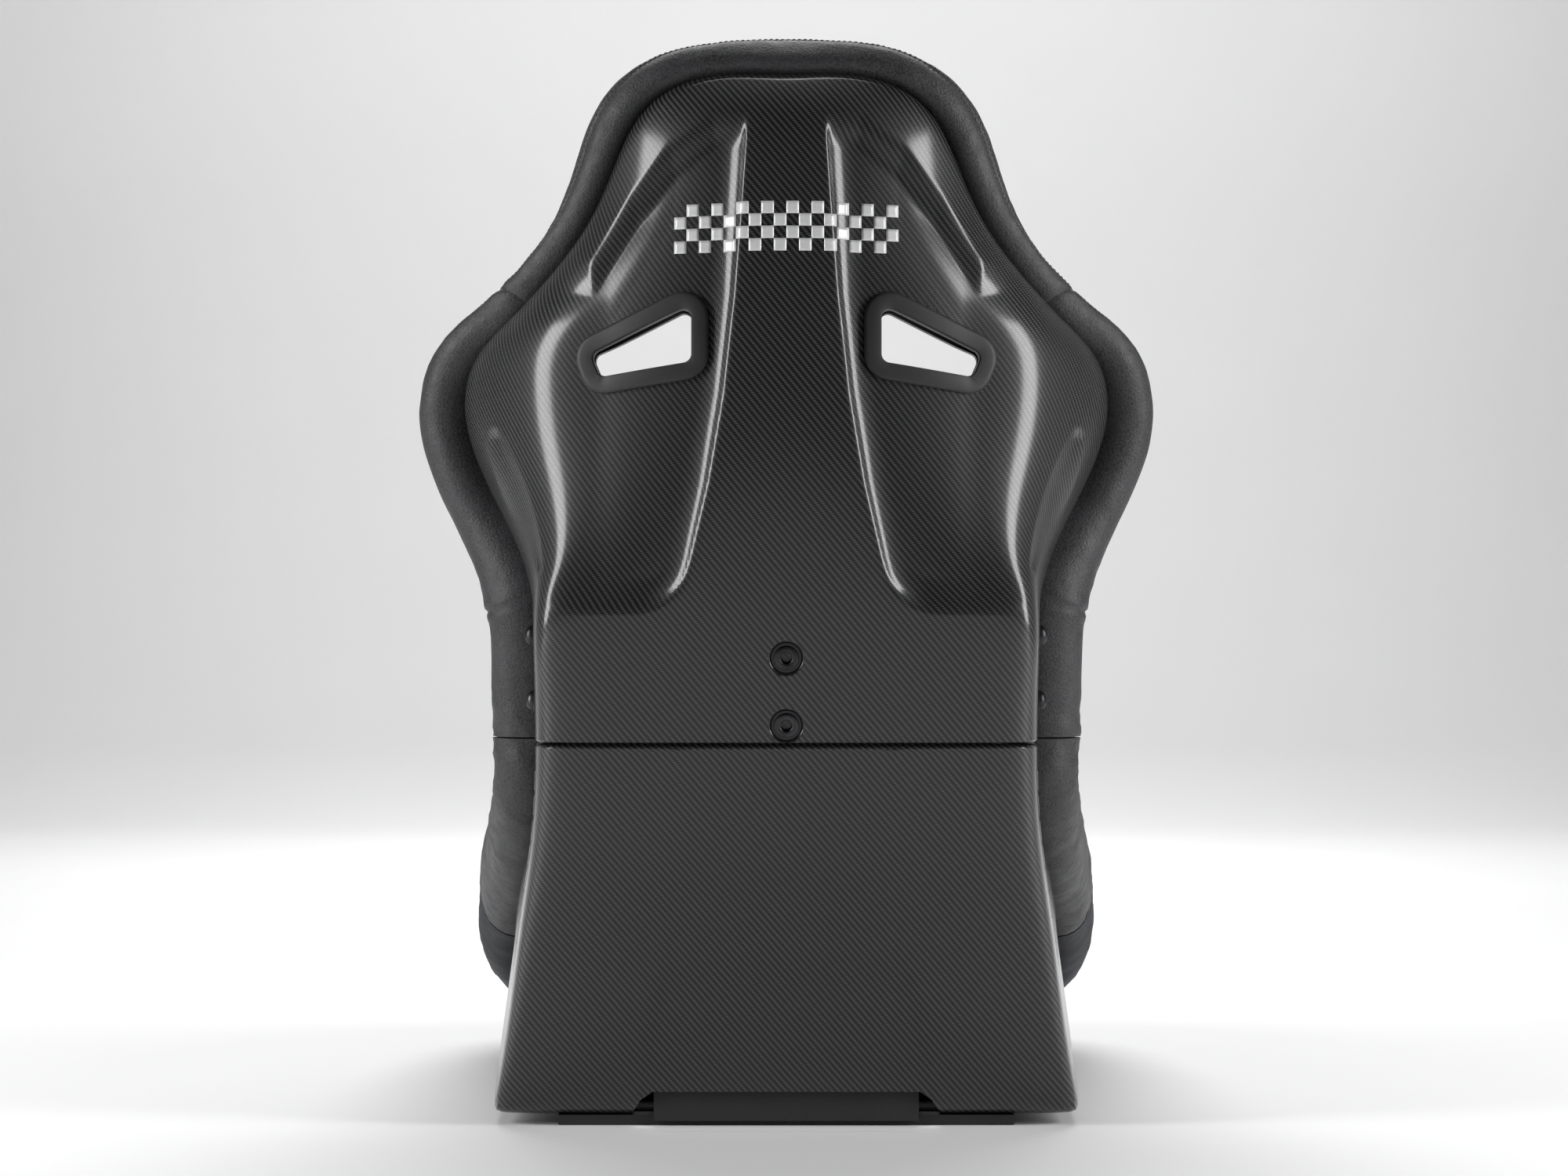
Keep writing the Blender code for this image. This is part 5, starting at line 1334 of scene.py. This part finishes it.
# ---- decals ---------------------------------------------------------------------------------------------
def decal(name, cells, body, tree, lateral=0.0):
    """Thin white patches laid on the shell from behind, or from the side where lateral is +1 or -1.

    Each cell is four corners, as (x, z) or as (y, z).
    """
    points, faces = [], []
    count = 5
    for cell in cells:
        a, b, c, d = (np.array(p) for p in cell)
        faces += grid(count, count, len(points))
        for r in np.linspace(0.0, 1.0, count):
            for s in np.linspace(0.0, 1.0, count):
                p = (a * (1 - s) + b * s) * (1 - r) + (d * (1 - s) + c * s) * r
                if lateral:
                    found = tree.ray_cast(Vector((lateral, *p)), Vector((-lateral, 0, 0)))
                else:
                    found = tree.ray_cast(Vector((p[0], 1.0, p[1])), Vector((0, -1, 0)))
                points.append(found[0] + found[1] * 0.00022)
    film = new_object(name, points, faces, VINYL, body, closed=False).modifiers.new("film", 'SOLIDIFY')
    film.thickness = 0.00015
    film.offset = 0.0


cells = []
SQUARE = 0.0100
for row in range(4):
    for column in range(18):
        if (row + column) % 2 == 0:
            x = (column - 9) * SQUARE
            z = 0.755 - row * SQUARE
            cells.append(((x, z), (x + SQUARE, z), (x + SQUARE, z - SQUARE), (x, z - SQUARE)))
decal("chequer_band", cells, "back", BACK_TREE)
BASE_TREE = tree_of(BASE_SKIN)
for label, side in (("left", 1.0), ("right", -1.0)):
    dashes = []
    for k in range(9):
        low, high = 0.296 - k * 0.021, 0.280 - k * 0.021
        rear = [float(np.interp(z, [0.032, 0.135, 0.235, 0.320], [0.2195, 0.2395, 0.264, 0.2835])) - 0.052
                for z in (low, high)]
        width = 0.0034 - 0.00018 * k
        dashes.append(((rear[0], low), (rear[0] + width, low), (rear[1] + width, high), (rear[1], high)))
    decal("side_dashes_" + label, dashes, "base", BASE_TREE, side)


# ---- stage, light and camera ------------------------------------------------------------------------------
def area(name, at, target, size, power):
    light = bpy.data.lights.new(name, 'AREA')
    light.shape = 'RECTANGLE'
    light.size, light.size_y = size
    light.energy = power
    item = place(name, light)
    item.location = at
    item.rotation_euler = (Vector(target) - Vector(at)).to_track_quat('-Z', 'Y').to_euler()


floor_mesh = bpy.data.meshes.new("floor")
FLOOR_Z = -0.0004
SWEEP_Y, SWEEP_R = -3.0, 1.6             # where the floor curves up into the backdrop
line = [(9.0, FLOOR_Z), (SWEEP_Y, FLOOR_Z)]
line += [(SWEEP_Y - SWEEP_R * math.sin(a), SWEEP_R - SWEEP_R * math.cos(a) + FLOOR_Z)
         for a in np.linspace(0.05, 0.5 * math.pi, 24)]
line += [(SWEEP_Y - SWEEP_R, 6.0)]
floor_mesh.from_pydata([(x, y, z) for y, z in line for x in (-12.0, 12.0)], [],
                       [(2 * k, 2 * k + 1, 2 * k + 3, 2 * k + 2) for k in range(len(line) - 1)])
floor_mesh.shade_smooth()
floor = place("floor", floor_mesh)
pale = Nodes("floor_pale", (0.86, 0.86, 0.86), 0.9)
pale.into("Base Color", pale.mix(pale.noise(pale.coords(), 3.0), (0.85, 0.85, 0.85), (0.88, 0.88, 0.88)))
floor_mesh.materials.append(pale.material)

world = bpy.data.worlds.new("studio")
bpy.context.scene.world = world
world.use_nodes = True
tree = world.node_tree
background = tree.nodes["Background"]
path = tree.nodes.new("ShaderNodeLightPath")
mix = tree.nodes.new("ShaderNodeMix")
mix.data_type = 'RGBA'
tree.links.new(path.outputs["Is Camera Ray"], mix.inputs[0])
mix.inputs[6].default_value = (0.06, 0.06, 0.062, 1)
mix.inputs[7].default_value = (0.90, 0.90, 0.90, 1)
tree.links.new(mix.outputs[2], background.inputs["Color"])
background.inputs["Strength"].default_value = 1.0

area("key_left", (2.1, 0.80, 1.00), (0, 0.2, 0.5), (0.6, 1.6), 38)
area("key_right", (-2.1, 0.80, 1.00), (0, 0.2, 0.5), (0.6, 1.6), 38)
area("top", (0.0, -0.7, 2.6), (0, 0.0, 0.5), (2.0, 1.0), 34)
area("front_fill", (0.0, -2.6, 1.9), (0, 0.0, 0.4), (2.4, 1.2), 34)
area("backdrop", (0.0, -2.2, 2.8), (0, -4.6, 0.8), (4.0, 0.8), 60)
bpy.context.scene.view_settings.view_transform = 'Standard'

LENS_RATIO = 2.009           # focal length over the width of the frame
camera_data = bpy.data.cameras.new("camera")
camera_data.sensor_width = 36.0
camera_data.lens = LENS_RATIO * camera_data.sensor_width
camera = place("camera", camera_data)
camera.location = (0.0019, 2.83, 0.447)
camera.rotation_euler = (math.radians(90), 0.0, math.radians(180))
bpy.context.scene.camera = camera
